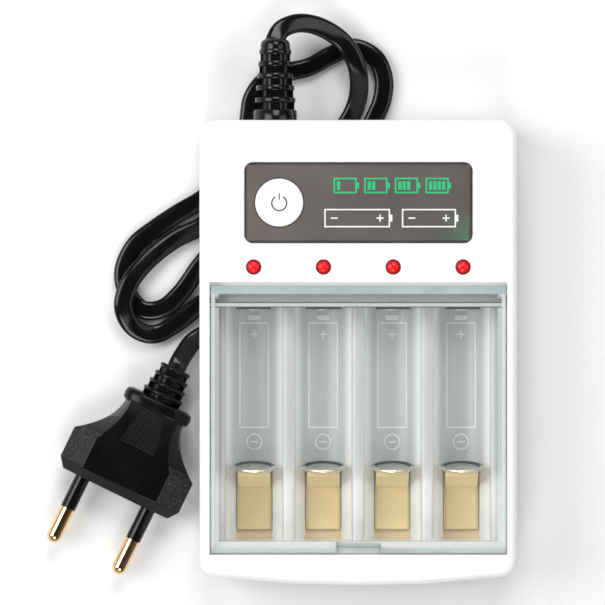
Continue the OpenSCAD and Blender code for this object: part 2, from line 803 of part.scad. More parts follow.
back_cover();
front_shell();
lid();
label_plate();
power_mark();
for (i = [0:3]) lamp(i);
for (i = [0:3]) contact_cap(i);
for (i = [0:3]) contact_slider(i);
for (i = [0:3]) contact_spring(i);
for (i = [0:3]) positive_contact(i);
circuit_board();
transformer();
filter_capacitor();
case_screws();
for (i = [0:3]) foot(i);
strain_relief();
cord();
plug_body();
for (i = [0:1]) plug_pin(i);
for (i = [0:1]) pin_sleeve(i);
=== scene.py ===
"""Looks of a four-bay battery charger that lies on its back beside its flat mains cord.

Shapes are drawn in millimetres in the shared frame and scaled to metres once, in piece.
"""

import math

import bmesh
import bpy
from bpy.props import FloatProperty, FloatVectorProperty, IntProperty, PointerProperty
from mathutils import Matrix, Vector


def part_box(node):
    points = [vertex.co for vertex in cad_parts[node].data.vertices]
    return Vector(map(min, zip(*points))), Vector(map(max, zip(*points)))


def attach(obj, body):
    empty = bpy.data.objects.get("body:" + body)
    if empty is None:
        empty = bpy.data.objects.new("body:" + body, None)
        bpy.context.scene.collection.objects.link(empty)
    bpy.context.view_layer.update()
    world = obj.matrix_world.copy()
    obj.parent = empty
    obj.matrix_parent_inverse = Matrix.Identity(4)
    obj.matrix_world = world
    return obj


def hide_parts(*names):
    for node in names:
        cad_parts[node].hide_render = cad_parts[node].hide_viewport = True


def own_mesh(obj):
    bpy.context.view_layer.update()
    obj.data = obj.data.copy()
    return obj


bl_info = {
    "name": "Battery charger looks",
    "version": (1, 0, 0),
    "blender": (4, 5, 0),
    "location": "3D View > Sidebar > Charger",
    "description": "Dresses the four-bay charger with its finishes, cord, plug, lid and printed marks",
    "category": "Object",
}

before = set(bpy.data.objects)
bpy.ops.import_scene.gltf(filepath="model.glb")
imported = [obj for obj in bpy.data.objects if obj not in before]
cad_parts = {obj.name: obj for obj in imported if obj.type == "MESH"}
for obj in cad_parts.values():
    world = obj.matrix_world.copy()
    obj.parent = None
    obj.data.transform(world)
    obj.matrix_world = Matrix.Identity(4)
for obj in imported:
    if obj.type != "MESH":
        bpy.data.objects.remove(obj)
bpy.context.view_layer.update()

MM = 0.001
TO_METRES = Matrix.Scale(MM, 4)
ALONG_Y = Matrix.Rotation(-math.pi / 2, 4, "X")
BAYS = range(1, 5)
SIDES = (-1, 1)


def box(node):
    """Low and high corner of a solid, in millimetres."""
    return tuple(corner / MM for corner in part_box(node))


def middle(node):
    low, high = box(node)
    return (low + high) / 2


# Places that the pieces share, as the solids have them
BAY_X = [middle(f"lamp_{i}").x for i in BAYS]
LABEL_LOW, LABEL_HIGH = box("label_plate")
LABEL_MID = middle("label_plate")
MARK_LOW, MARK_HIGH = box("power_mark")
MARK_MID = middle("power_mark")
LID_LOW, LID_HIGH = box("lid")
FRONT_Z = 30
CASE_END_Y = 60.05
TROUGH_R = 7.5
TROUGH_AXIS_Z = 20.5
GREY_LOW_Z, GREY_HIGH_Z = 9.2, FRONT_Z - 0.8
RECESS_HALF, LID_HALF = 38.4, 38.0
WALL_LOW_Y, WALL_HIGH_Y = 11.65, 13.05
HINGE_Y, HINGE_Z = 15.45, 28.4
SLIDER_BASE_Z, SLIDER_TOP_Z = 11.5, 12.7
SLIDER_FRONT_Y = -30.95
PLUG_HALF = 6.85
PLUG_LENGTH = 36.5
PLUG_TURN = math.radians(-26)

# Centre line of the cord, from the strain relief to the plug. Points without a height lie on the floor.
CORD_LYING_Z = 1.6
CORD_ROUTE = [Vector(p if len(p) == 3 else (*p, CORD_LYING_Z)) for p in (
    (-21.5, 79, 14), (-21.5, 81.5, 14), (-19.5, 84.5, 13), (-15, 86, 11), (-9.5, 85, 8.6),
    (-4, 81.5, 6.6), (-0.5, 76, 5.6), (0.5, 70, 3.8), (-0.5, 64.5, 2.1), (-3.5, 59, 1.7),
    (-8.5, 53.5), (-15.5, 48.5), (-23, 43.5), (-32, 38.5), (-41, 33, 1.7),
    (-48, 29.5, 2.4), (-54.5, 24.5, 3.8), (-59.5, 18.5, 5), (-61.5, 12, 5), (-59, 6.5, 3.6),
    (-53.5, 4.5, 2.2), (-47.5, 7.5, 1.7), (-41, 12.5), (-34, 16.5), (-26, 18.5),
    (-18.5, 21.5), (-14, 27.5), (-15.5, 34), (-21, 37), (-28, 34),
    (-35, 29.5), (-41, 23), (-46, 16), (-51, 11.5), (-56.5, 11),
    (-60.5, 15.5), (-61.5, 21.5), (-58.5, 28), (-53, 32.5), (-47, 36.5),
    (-41, 40), (-35, 45), (-31, 50.5), (-29, 56), (-28.5, 61.5),
    (-27.5, 67), (-24, 71.5), (-18.5, 73.5), (-12.5, 75), (-7, 78),
    (-1, 80), (4.5, 77.5), (7, 72), (6.5, 66), (4, 60),
    (2, 53.5), (0.5, 45), (-1.5, 36.5), (-4.5, 28), (-9.5, 19.5),
    (-17, 12.5), (-25, 8), (-33, 6), (-39, 5), (-43.2, 2.6, 2.2),
    (-45.4, -0.4, 4.4), (-46.7, -2.6, 6.3), (-47.5, -4.3, PLUG_HALF),
)]


def length_property(name, description, millimetres):
    return FloatProperty(name=name, description=description, default=millimetres * MM, unit="LENGTH")


def colour_property(name, description, default):
    return FloatVectorProperty(name=name, description=description, default=default, size=3, subtype="COLOR")


class ChargerSizes(bpy.types.PropertyGroup):
    """Sizes of the fine detail and of the view."""

    cord_width: length_property("Cord width", "Width of the flat cord", 5)
    cord_thickness: length_property("Cord thickness", "Thickness of the flat cord", 3)
    emboss: length_property("Emboss", "Height of the marks in the bays", 0.16)
    print_height: length_property("Print height", "Height of the print on the label", 0.06)
    view_width: length_property("View width", "Width of the view at the front face", 156)
    view_lens: FloatProperty(
        name="Lens", description="Focal length of the camera", default=300, unit="CAMERA")
    grip_lines: IntProperty(
        name="Grip lines", description="Lines moulded in each flat of the plug", default=15, min=4, max=30)


class ChargerColours(bpy.types.PropertyGroup):
    """Colours of the finishes."""

    case: colour_property("Case", "White moulded plastic", (0.9, 0.9, 0.895))
    # The bays' grey is painted shade under the lid, and the channels' tan is the sliders' tan made lighter as
    # painted light.
    shaded_bay_grey: colour_property("Bays", "Pale grey of the bays", (0.52, 0.53, 0.522))
    channel: colour_property("Channels", "Tan floor behind the sliders", (0.95, 0.77, 0.43))
    label: colour_property("Label", "Dark film of the label", (0.115, 0.097, 0.093))
    green: colour_property("Green print", "Green marks", (0.02, 0.52, 0.19))
    white: colour_property("White print", "White marks", (0.86, 0.86, 0.85))
    lamp: colour_property("Lamp", "Red lens", (0.75, 0.004, 0.008))
    slider: colour_property("Slider", "Tan slider", (0.82, 0.64, 0.315))
    lid: colour_property("Lid edge", "Tint of the lid's edges", (0.52, 0.69, 0.69))
    black: colour_property("Cord and plug", "Black plastic", (0.0035, 0.0035, 0.0038))


def sizes():
    return bpy.context.scene.charger_sizes


def colours():
    return bpy.context.scene.charger_colours


def linked(name, data):
    """A new object in the scene."""
    made = bpy.data.objects.new(name, data)
    bpy.context.scene.collection.objects.link(made)
    return made


# Node trees

class Tree:
    """A node tree being built."""

    def __init__(self, tree):
        self.tree = tree

    def node(self, kind, inputs=(), **settings):
        """A node with its settings, and with values or outputs fed into its inputs."""
        made = self.tree.nodes.new(kind)
        for name, value in settings.items():
            setattr(made, name, value)
        for socket, value in dict(inputs).items():
            self.feed(value, made.inputs[socket])
        return made

    def feed(self, value, socket):
        if isinstance(value, bpy.types.NodeSocket):
            self.tree.links.new(value, socket)
        else:
            socket.default_value = value

    def math(self, operation, a, b=0.0):
        return self.node("ShaderNodeMath", {0: a, 1: b}, operation=operation).outputs[0]

    def product(self, first, *others):
        for other in others:
            first = self.math("MULTIPLY", first, other)
        return first

    def greatest(self, first, *others):
        for other in others:
            first = self.math("MAXIMUM", first, other)
        return first

    def split(self, vector):
        """The X, Y and Z of a vector."""
        return tuple(self.node("ShaderNodeSeparateXYZ", {0: vector}).outputs)

    def distance(self, vector, point):
        return self.node("ShaderNodeVectorMath", {0: vector, 1: point}, operation="DISTANCE").outputs["Value"]

    def remap(self, value, low, high, to_low=0.0, to_high=1.0, **settings):
        """A value carried from one range to another and kept inside it."""
        ranges = {"Value": value, "From Min": low, "From Max": high, "To Min": to_low, "To Max": to_high}
        return self.node("ShaderNodeMapRange", ranges, **settings).outputs["Result"]

    def span(self, value, low, high, soft):
        """1 where a value lies between two limits, with soft ends."""
        rise = self.remap(value, low - soft, low + soft)
        return self.product(rise, self.remap(value, high + soft, high - soft))


class Growth(Tree):
    """A geometry node tree with number inputs of given names and defaults."""

    def __init__(self, name, **inputs):
        super().__init__(bpy.data.node_groups.new(name, "GeometryNodeTree"))
        interface = self.tree.interface
        interface.new_socket("Geometry", in_out="OUTPUT", socket_type="NodeSocketGeometry")
        for label, value in inputs.items():
            kind = "NodeSocketInt" if isinstance(value, int) else "NodeSocketFloat"
            interface.new_socket(label, in_out="INPUT", socket_type=kind).default_value = value
        self.inputs = self.tree.nodes.new("NodeGroupInput").outputs

    def close(self, geometry, material):
        """Ends the tree in real meshes that carry a material."""
        real = self.node("GeometryNodeRealizeInstances", {"Geometry": geometry})
        painted = self.node("GeometryNodeSetMaterial", {"Geometry": real.outputs[0], "Material": material})
        self.node("NodeGroupOutput", {0: painted.outputs[0]})

    def grown(self, name, **values):
        """The mesh that the tree makes with these inputs."""
        source = linked(name, bpy.data.meshes.new(name))
        modifier = source.modifiers.new("grow", "NODES")
        modifier.node_group = self.tree
        for item in self.tree.interface.items_tree:
            if item.in_out == "INPUT" and item.name in values:
                modifier[item.identifier] = values[item.name]
        dressed = source.evaluated_get(bpy.context.evaluated_depsgraph_get())
        mesh = bpy.data.meshes.new_from_object(dressed)
        bpy.data.objects.remove(source)
        if not mesh.polygons:
            raise RuntimeError(f"the tree {self.tree.name} made no faces")
        mesh.name = name
        return mesh


# Materials

# Noise lies between these for the most part
NOISE_LOW, NOISE_HIGH = 0.3, 0.7
# Stretch of the noise that makes the lines of rolled nickel
ROLLED = (900, 60, 60)


def shade(colour, factor=1.0):
    """A colour made lighter or darker, with full alpha."""
    return tuple(min(1.0, c * factor) for c in colour[:3]) + (1.0,)


class Finish(Tree):
    """A material being built: its tree, its shader and the coordinates of its patterns."""

    def __init__(self, name, colour, roughness, **sockets):
        self.material = bpy.data.materials.new(name)
        self.material.use_nodes = True
        super().__init__(self.material.node_tree)
        self.shader = self.tree.nodes["Principled BSDF"]
        self.coords = self.node("ShaderNodeTexCoord").outputs["Object"]
        self.set(Base_Color=shade(colour), Roughness=roughness, **sockets)

    def set(self, **sockets):
        """Feeds values or outputs into sockets of the shader."""
        for socket, value in sockets.items():
            self.feed(value, self.shader.inputs[socket.replace("_", " ")])

    def noise(self, scale, detail=3.0, coords=None):
        inputs = {"Scale": scale, "Detail": detail, "Vector": coords or self.coords}
        return self.node("ShaderNodeTexNoise", inputs).outputs["Fac"]

    def stretched(self, scale):
        return self.node("ShaderNodeMapping", {"Scale": scale, "Vector": self.coords}).outputs["Vector"]

    def drawn(self, stretch):
        """Noise stretched to the lines of drawn or rolled metal."""
        return self.noise(1.0, 4, self.stretched(stretch))

    def places(self):
        """X, Y and Z of the surface in millimetres."""
        return self.split(self.stretched((1 / MM, 1 / MM, 1 / MM)))

    def mix(self, factor, a, b):
        return self.node("ShaderNodeMix", {0: factor, 6: a, 7: b}, data_type="RGBA").outputs[2]

    def bump(self, pattern, height):
        """Relief of a pattern, with its height in millimetres."""
        made = self.node("ShaderNodeBump", {"Strength": 1.0, "Distance": height * MM, "Height": pattern})
        self.set(Normal=made.outputs["Normal"])

    def drift(self, pattern, low, high):
        """A number that follows a noise pattern."""
        return self.remap(pattern, NOISE_LOW, NOISE_HIGH, low, high)

    def mottle(self, colour, scale, spread, rough_low, rough_high):
        """Slow drift of colour and roughness over the surface."""
        slow = self.noise(scale)
        self.set(Base_Color=self.mix(slow, shade(colour, 1 - spread), shade(colour, 1 + spread)),
                 Roughness=self.drift(slow, rough_low, rough_high))


def bay_painted_shade_and_light(made, y, z):
    """Grey of the bays, painted shade under the lid: floors darker and cooler as painted shade, steep sides
    and the ends beside the sliders lighter as painted light, tan channels lightened as painted light against
    their shadow, and lines of painted shadow along the wall's edges.
    """
    shaded_bay_grey = colours().shaded_bay_grey
    depth = made.math("SUBTRACT", TROUGH_AXIS_Z, z)
    floor_painted_shade = made.remap(depth, 4, TROUGH_R)
    steep = made.product(made.remap(depth, 5.4, 2.8), made.remap(depth, 0.1, 0.7))
    beside_slider_painted_light = made.remap(y, -30, -34, 0, 0.5)
    below_strip = made.remap(z, SLIDER_TOP_Z + 0.1, SLIDER_BASE_Z + 0.1)
    in_channel = made.product(below_strip, made.remap(y, -44, -45.5))
    wall_edge_painted_shadow = made.greatest(made.span(y, WALL_LOW_Y - 0.1, WALL_LOW_Y + 0.22, 0.06),
                           made.span(y, WALL_HIGH_Y - 0.3, WALL_HIGH_Y + 0.1, 0.06))
    on_wall_top = made.remap(z, FRONT_Z - 3, FRONT_Z - 2)
    cool = (0.95 * shaded_bay_grey[0], shaded_bay_grey[1], 1.02 * shaded_bay_grey[2])
    # Painted shade darkens the floors; painted light lightens the steep sides and the ends beside the
    # sliders.
    mixed = made.mix(floor_painted_shade, shade(shaded_bay_grey), shade(cool, 0.75))
    mixed = made.mix(steep, mixed, shade(shaded_bay_grey, 1.8))
    mixed = made.mix(beside_slider_painted_light, mixed, shade(shaded_bay_grey, 1.75))
    # Tan of the channels, made lighter as painted light against their shadow.
    mixed = made.mix(in_channel, mixed, shade(colours().channel))
    # Painted shadow: dark lines along the edges of the wall.
    return made.mix(made.product(wall_edge_painted_shadow, on_wall_top), mixed, shade(shaded_bay_grey, 0.12))


def case_finish(name):
    """White moulded plastic, painted pale grey inside the bays as painted shade under the lid, with painted
    light glowing in the trench behind the lid.
    """
    white = colours().case
    made = Finish(name, white, 0.3, Specular_IOR_Level=0.45)
    slow = made.noise(60)
    x, y, z = made.places()
    across = made.span(x, -RECESS_HALF, RECESS_HALF, 0.2)
    along = made.span(y, LID_LOW.y - 0.5, LID_HIGH.y + 0.2, 0.3)
    # Painted shade: the bays inside the recess are grey.
    inside = made.product(across, along, made.span(z, GREY_LOW_Z, GREY_HIGH_Z, 0.4))
    outer = made.mix(slow, shade(white, 0.994), shade(white, 1.006))
    # Painted light: a faint glow in the trench behind the lid.
    trench = made.span(y, LID_HIGH.y, LID_HIGH.y + 1.2, 0.1)
    trench_painted_light = made.product(trench, made.span(z, 20, GREY_HIGH_Z, 0.4), across, 0.2)
    made.set(Base_Color=made.mix(inside, outer, bay_painted_shade_and_light(made, y, z)),
             Roughness=made.drift(slow, 0.31, 0.35), Emission_Color=shade(white), Emission_Strength=trench_painted_light)
    made.bump(made.noise(5200, 2), 0.012)
    return made.material


def clear_finish(name):
    """Clear moulded plastic with faint waves, its tint gathered in bands along the rim."""
    tint = shade(colours().lid)
    made = Finish(name, tint, 0.06, Specular_IOR_Level=0.6)
    x, y, _ = made.places()
    top = made.remap(y, LID_HIGH.y - 2.1, LID_HIGH.y - 1.8, 0, 0.78)
    low = made.remap(y, LID_LOW.y + 1.7, LID_LOW.y + 1.2, 0, 0.42)
    side = made.remap(made.math("ABSOLUTE", x), LID_HALF - 1.2, LID_HALF - 0.8, 0, 0.42)
    ends = made.greatest(top, low)
    tinted = made.product(made.greatest(ends, side), made.drift(made.noise(160, 2), 0.85, 1.1))
    made.set(Alpha=made.math("ADD", tinted, 0.035),
             Base_Color=made.mix(ends, shade((0.86, 0.94, 0.94)), shade(tint, 0.62)),
             Roughness=made.drift(made.noise(90), 0.04, 0.1))
    made.bump(made.noise(160), 0.04)
    return made.material


def film_finish(name):
    """Dark printed film, darker to the right and along its border, with a ring of painted shadow round the
    power mark.
    """
    film = colours().label
    made = Finish(name, film, 0.42)
    slow = made.noise(70)
    x, y, _ = made.places()
    half = (LABEL_HIGH - LABEL_LOW) / 2
    from_middle = made.math("ABSOLUTE", made.math("SUBTRACT", y, LABEL_MID.y))
    border = made.greatest(made.remap(made.math("ABSOLUTE", x), half.x - 0.9, half.x - 0.3),
                           made.remap(from_middle, half.y - 0.9, half.y - 0.3))
    # Painted shadow: a dark ring round the raised power disc.
    radius = (MARK_HIGH.x - MARK_LOW.x) / 2 * MM
    apart = made.distance(made.coords, Vector((MARK_MID.x, MARK_MID.y, LABEL_HIGH.z)) * MM)
    ring = made.remap(apart, radius + 0.4 * MM, radius + 0.2 * MM)
    worn = made.mix(slow, shade(film, 0.92), shade(film, 1.14))
    body = made.mix(made.remap(x, -half.x, half.x, 0, 0.26), worn, shade(film, 0.2))
    made.set(Base_Color=made.mix(made.greatest(border, ring), body, shade(film, 0.25)),
             Roughness=made.drift(slow, 0.34, 0.5))
    made.bump(made.noise(3800, 2), 0.01)
    return made.material


def lens_finish(name):
    """Red tinted lens, darkened towards its rim as painted shade."""
    red = colours().lamp
    made = Finish(name, red, 0.3, Specular_IOR_Level=0.2, Coat_Weight=0.3, Coat_Roughness=0.06,
                  Emission_Strength=0.1, Emission_Color=shade(red))
    # Painted shade: the rim of each lens is darker.
    dome = made.remap(made.places()[2], FRONT_Z + 0.2, FRONT_Z + 0.6)
    made.set(Base_Color=made.mix(dome, shade(red, 0.12), shade(red)),
             Roughness=made.drift(made.noise(800), 0.34, 0.46))
    made.bump(made.noise(1500), 0.01)
    return made.material


def metal_finish(name, colour, low, high, stretch, height):
    """Plated metal with fine drawn lines and dull patches; low and high are its roughness."""
    made = Finish(name, colour, low, Metallic=1.0)
    lines = made.drawn(stretch)
    made.set(Base_Color=made.mix(made.noise(220), shade(colour, 0.88), shade(colour, 1.06)),
             Roughness=made.drift(lines, low, high))
    made.bump(lines, height)
    return made.material


def nickel_finish(name, base, upper, start, end, low, high):
    """Rolled nickel whose colour steps between two heights, as painted light and shade; low and high are its
    roughness.
    """
    made = Finish(name, base, low, Metallic=1.0)
    lines = made.drawn(ROLLED)
    painted_light_step = made.remap(made.places()[2], start, end)
    made.set(Base_Color=made.mix(painted_light_step, shade(base), shade(upper)), Roughness=made.drift(lines, low, high))
    made.bump(lines, 0.004)
    return made.material


def plain_finish(name, colour, rough, less=0.07, more=0.08, drift=120, spread=0.06, grain=2600, height=0.02,
                 detail=2, **sockets):
    """Plastic or ink with a slow drift of colour and roughness and a fine grain."""
    made = Finish(name, colour, rough, **sockets)
    made.mottle(colour, drift, spread, rough - less, rough + more)
    made.bump(made.noise(grain, detail), height)
    return made.material


def ink_finish(name, colour):
    return plain_finish(name, colour, 0.4, less=0.08, more=0.1, drift=900, grain=6000, height=0.006)


def clear_edge_finish(name, colour, alpha):
    """Edge of the clear plastic, where its tint gathers."""
    return plain_finish(name, colour, 0.12, less=0.04, more=0.06, drift=240, spread=0.1, grain=900, detail=3,
                        Specular_IOR_Level=0.6, Alpha=alpha)


def rubber_finish(name, rough):
    """Smooth flexible black plastic, with faint scuffs along it."""
    black = colours().black
    made = Finish(name, black, rough, Specular_IOR_Level=0.36)
    scuff = made.remap(made.noise(700, 6), 0.62, 0.75)
    made.set(Base_Color=made.mix(scuff, shade(black), shade(black, 2.2)),
             Roughness=made.drift(made.noise(140), rough - 0.04, rough + 0.06))
    made.bump(made.noise(1800, 3), 0.008)
    return made.material


def sparked_finish(name):
    """Coarse eroded texture of the plug's slanted corners, with small painted glints in its colour."""
    black = colours().black
    made = Finish(name, black, 0.5, Specular_IOR_Level=0.3)
    cells = made.node("ShaderNodeTexVoronoi", {"Scale": 2400, "Vector": made.coords})
    # Painted glints: lighter specks in the colour.
    painted_glint = made.remap(made.noise(2600, 2), 0.5, 0.7)
    made.set(Base_Color=made.mix(painted_glint, shade(black, 2), (0.075, 0.06, 0.052, 1)),
             Roughness=made.drift(made.noise(900), 0.36, 0.6))
    made.bump(cells.outputs["Distance"], 0.12)
    return made.material


def paper_finish(name):
    """Pale paper of the floor."""
    pale = (0.9, 0.9, 0.9)
    made = Finish(name, pale, 0.7)
    made.mottle(pale, 4, 0.01, 0.65, 0.75)
    return made.material


RECIPES = {
    "pale_paper": paper_finish,
    "white_moulded_plastic": case_finish,
    # Marks in the bays: the bays' grey made lighter, as painted light on the raised lines.
    "raised_plastic": lambda name: plain_finish(
        name, shade(colours().shaded_bay_grey, 1.15), 0.35, less=0.05, more=0.07, drift=300, spread=0.04,
        grain=5200, height=0.008),
    "clear_plastic": clear_finish,
    "clear_plastic_tongue": lambda name: clear_edge_finish(name, (0.7, 0.79, 0.78), alpha=0.5),
    "clear_plastic_edge": lambda name: clear_edge_finish(name, shade(colours().lid, 0.45), alpha=0.75),
    "label_film": film_finish,
    "mark_enamel": lambda name: ink_finish(name, (0.88, 0.88, 0.88)),
    "grey_ink": lambda name: ink_finish(name, (0.09, 0.09, 0.092)),
    "green_ink": lambda name: ink_finish(name, colours().green),
    "white_ink": lambda name: ink_finish(name, colours().white),
    "dot_ink": lambda name: ink_finish(name, shade(colours().green, 0.6)),
    "red_lens": lens_finish,
    # Caps: grey below, with a painted gold reflection of the tan sliders on the upper rim.
    "cap_nickel": lambda name: nickel_finish(
        name, base=(0.62, 0.62, 0.58), upper=(0.95, 0.83, 0.6), start=TROUGH_AXIS_Z + 3,
        end=TROUGH_AXIS_Z + 5, low=0.26, high=0.4),
    # Plus plates: near black along the top edge, as painted shade of the slit behind them.
    "plate_nickel": lambda name: nickel_finish(
        name, base=(0.66, 0.65, 0.61), upper=(0.05, 0.055, 0.055), start=FRONT_Z - 2.4,
        end=FRONT_Z - 2.2, low=0.42, high=0.55),
    # Near-black nickel: painted shade on the lower rim of each cap.
    "tarnished_nickel": lambda name: metal_finish(
        name, (0.03, 0.03, 0.03), low=0.3, high=0.45, stretch=ROLLED, height=0.004),
    "zinc_steel": lambda name: metal_finish(
        name, (0.55, 0.55, 0.54), low=0.22, high=0.4, stretch=(500, 500, 500), height=0.01),
    "pin_brass": lambda name: metal_finish(
        name, (0.93, 0.66, 0.36), low=0.06, high=0.16, stretch=(300, 300, 300), height=0.004),
    "cord_rubber": lambda name: rubber_finish(name, rough=0.15),
    "sleeve_plastic": lambda name: rubber_finish(name, rough=0.14),
    "plug_plastic": lambda name: plain_finish(
        name, colours().black, 0.2, height=0.004, Specular_IOR_Level=0.22),
    "plug_sparked_sides": sparked_finish,
    "grip_plastic": lambda name: plain_finish(
        name, shade(colours().black, 1.6), 0.45, height=0.008, Specular_IOR_Level=0.3),
    "tan_plastic": lambda name: plain_finish(name, colours().slider, 0.42),
    "foot_rubber": lambda name: plain_finish(
        name, (0.035, 0.035, 0.036), 0.75, spread=0.1, grain=1800, height=0.04),
    "board_lacquer": lambda name: plain_finish(name, (0.02, 0.12, 0.05), 0.35, spread=0.15, grain=900),
    "winding_tape": lambda name: plain_finish(
        name, (0.5, 0.34, 0.06), 0.45, spread=0.12, grain=700, height=0.05),
    "capacitor_sleeve": lambda name: plain_finish(
        name, (0.01, 0.015, 0.06), 0.3, spread=0.1, grain=900, height=0.01),
}


def finish(name):
    """The material of that name, made once."""
    return bpy.data.materials.get(name) or RECIPES[name](name)


# Meshes, in millimetres

def mesh_of(bm, name, angle=180, smooth=True):
    """A mesh from a bmesh, its faces turned outwards and its edges sharp above an angle."""
    bmesh.ops.remove_doubles(bm, verts=bm.verts, dist=1e-4)
    bmesh.ops.recalc_face_normals(bm, faces=bm.faces)
    for face in bm.faces:
        face.smooth = smooth
    for edge in bm.edges:
        if len(edge.link_faces) == 2 and edge.calc_face_angle(0) > math.radians(angle):
            edge.smooth = False
    mesh = bpy.data.meshes.new(name)
    bm.to_mesh(mesh)
    bm.free()
    return mesh


def piece(name, shape, materials, body, replaces=(), angle=180):
    """A piece at the origin from a bmesh or mesh in millimetres, which moves with a body."""
    mesh = mesh_of(shape, name, angle) if isinstance(shape, bmesh.types.BMesh) else shape
    mesh.transform(TO_METRES)
    made = linked(name, mesh)
    for material in materials:
        mesh.materials.append(finish(material))
    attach(made, body)
    if replaces:
        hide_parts(*replaces)
    return made


def paint(node, material):
    """Gives a solid of the frame its finish."""
    node.data.materials.clear()
    node.data.materials.append(finish(material))


def bevelled(made, width, segments, angle):
    """Rounds the edges of a piece that are sharper than an angle."""
    bevel = made.modifiers.new("rounded_edges", "BEVEL")
    bevel.width, bevel.segments, bevel.limit_method = width * MM, segments, "ANGLE"
    bevel.angle_limit = math.radians(angle)
    bevel.harden_normals = False


def add_rings(bm, rings, capped=True):
    """Skins a row of rings with equal point counts and caps both ends."""
    rows = [[bm.verts.new(p) for p in ring] for ring in rings]
    count = len(rows[0])
    for low, high in zip(rows, rows[1:]):
        for k in range(count):
            n = (k + 1) % count
            bm.faces.new((low[k], low[n], high[n], high[k]))
    if capped:
        bm.faces.new(rows[0])
        bm.faces.new(rows[-1])


def add_lathe(bm, profile, place, steps, material=0):
    """Turns a profile of (radius, height) pairs that starts and ends on its axis."""
    rings = []
    for radius, height in profile:
        turns = [2 * math.pi * k / steps for k in range(steps if radius else 1)]
        rings.append([
            bm.verts.new(place @ Vector((radius * math.cos(a), radius * math.sin(a), height))) for a in turns
        ])
    for low, high in zip(rings, rings[1:]):
        for k in range(steps):
            n = (k + 1) % steps
            corners = [low[k % len(low)], low[n % len(low)], high[n % len(high)], high[k % len(high)]]
            bm.faces.new(list(dict.fromkeys(corners))).material_index = material


def add_box(bm, low, high, place=Matrix.Identity(4), material=0):
    """A block between two corners."""
    corners = [
        bm.verts.new(place @ Vector((x, y, z))) for z in (low[2], high[2])
        for x, y in ((low[0], low[1]), (high[0], low[1]), (high[0], high[1]), (low[0], high[1]))
    ]
    for face in ((0, 3, 2, 1), (4, 5, 6, 7), (0, 1, 5, 4), (1, 2, 6, 5), (2, 3, 7, 6), (3, 0, 4, 7)):
        bm.faces.new([corners[i] for i in face]).material_index = material


def smooth_line(points, steps):
    """Dense points on a smooth curve through the given ones."""
    ends = [2 * points[0] - points[1], *points, 2 * points[-1] - points[-2]]
    line = []
    for a, b, c, d in zip(ends, ends[1:], ends[2:], ends[3:]):
        for k in range(steps):
            t = k / steps
            line.append(0.5 * (2 * b + (c - a) * t + (2 * a - 5 * b + 4 * c - d) * t * t
                               + (3 * b - a - 3 * c + d) * t ** 3))
    return [*line, points[-1]]


def line_length(line):
    return sum((b - a).length for a, b in zip(line, line[1:]))


def flat_rings(line, section, first, last):
    """Rings of a flat section along a line, its width level, with given directions at its ends."""
    ways = [(after - before).normalized() for before, after in zip(line, line[2:])]
    rings = []
    for point, ahead in zip(line, (Vector(first), *ways, Vector(last))):
        side = ahead.cross(Vector((0, 0, 1))).normalized()
        up = side.cross(ahead)
        rings.append([point + side * u + up * v for u, v in section])
    return rings


def oval(width, thickness, steps, power):
    """Rounded flat section; a higher power makes it squarer."""
    section = []
    for k in range(steps):
        a = 2 * math.pi * k / steps
        c, s = math.cos(a), math.sin(a)
        section.append((
            width / 2 * math.copysign(abs(c) ** (2 / power), c),
            thickness / 2 * math.copysign(abs(s) ** (2 / power), s),
        ))
    return section


STROKE_SUNK = 0.05
SHARPEST_MITRE = 0.4


def add_stroke(bm, points, width, height, place, closed=False):
    """A raised line of even width along points (u, v), put on a surface by place(u, v, height)."""
    flat = [Vector(p) for p in points]
    count = len(flat)
    rings = []
    for i, p in enumerate(flat):
        before = flat[i - 1] if i or closed else None
        after = flat[(i + 1) % count] if i < count - 1 or closed else None
        ways = [(b - a).normalized() for a, b in ((before, p), (p, after)) if a is not None and b is not None]
        normals = [Vector((-w.y, w.x)) for w in ways]
        mitre = sum(normals, Vector((0, 0))).normalized()
        reach = width / 2 / max(SHARPEST_MITRE, mitre.dot(normals[0]))
        left, right = p + mitre * reach, p - mitre * reach
        low, high = -STROKE_SUNK, height
        rings.append([place(*q, h) for q, h in ((left, low), (right, low), (right, high), (left, high))])
    if closed:
        rings.append(rings[0])
    add_rings(bm, rings, capped=not closed)


def row(left, right, v, steps=1):
    """Points on a level line, divided so that it can follow a curved surface."""
    return [(left + (right - left) * k / steps, v) for k in range(steps + 1)]


def arc(centre, radius, start, end, steps):
    """Points on a circle between two angles in degrees."""
    turn = [math.radians(start + (end - start) * k / steps) for k in range(steps + 1)]
    return [(centre[0] + radius * math.cos(a), centre[1] + radius * math.sin(a)) for a in turn]


def rectangle(low, high, steps=1):
    """Corners of a rectangle, with its level sides divided."""
    return row(low[0], high[0], low[1], steps) + row(high[0], low[0], high[1], steps)


def at_plug():
    """The plug's own frame: +Y back along the cord from the pin face."""
    turn = Matrix.Rotation(PLUG_TURN, 4, "Z")
    return Matrix.Translation(CORD_ROUTE[-1]) @ turn @ Matrix.Translation((0, -PLUG_LENGTH, 0))


RELIEF_CORE = 3.4
RING_SHARE = 0.46
RING_SOFT = 0.34
SPINE_HALF = (1.3, 2.3)
SIDE_WEB_HALF = 0.9


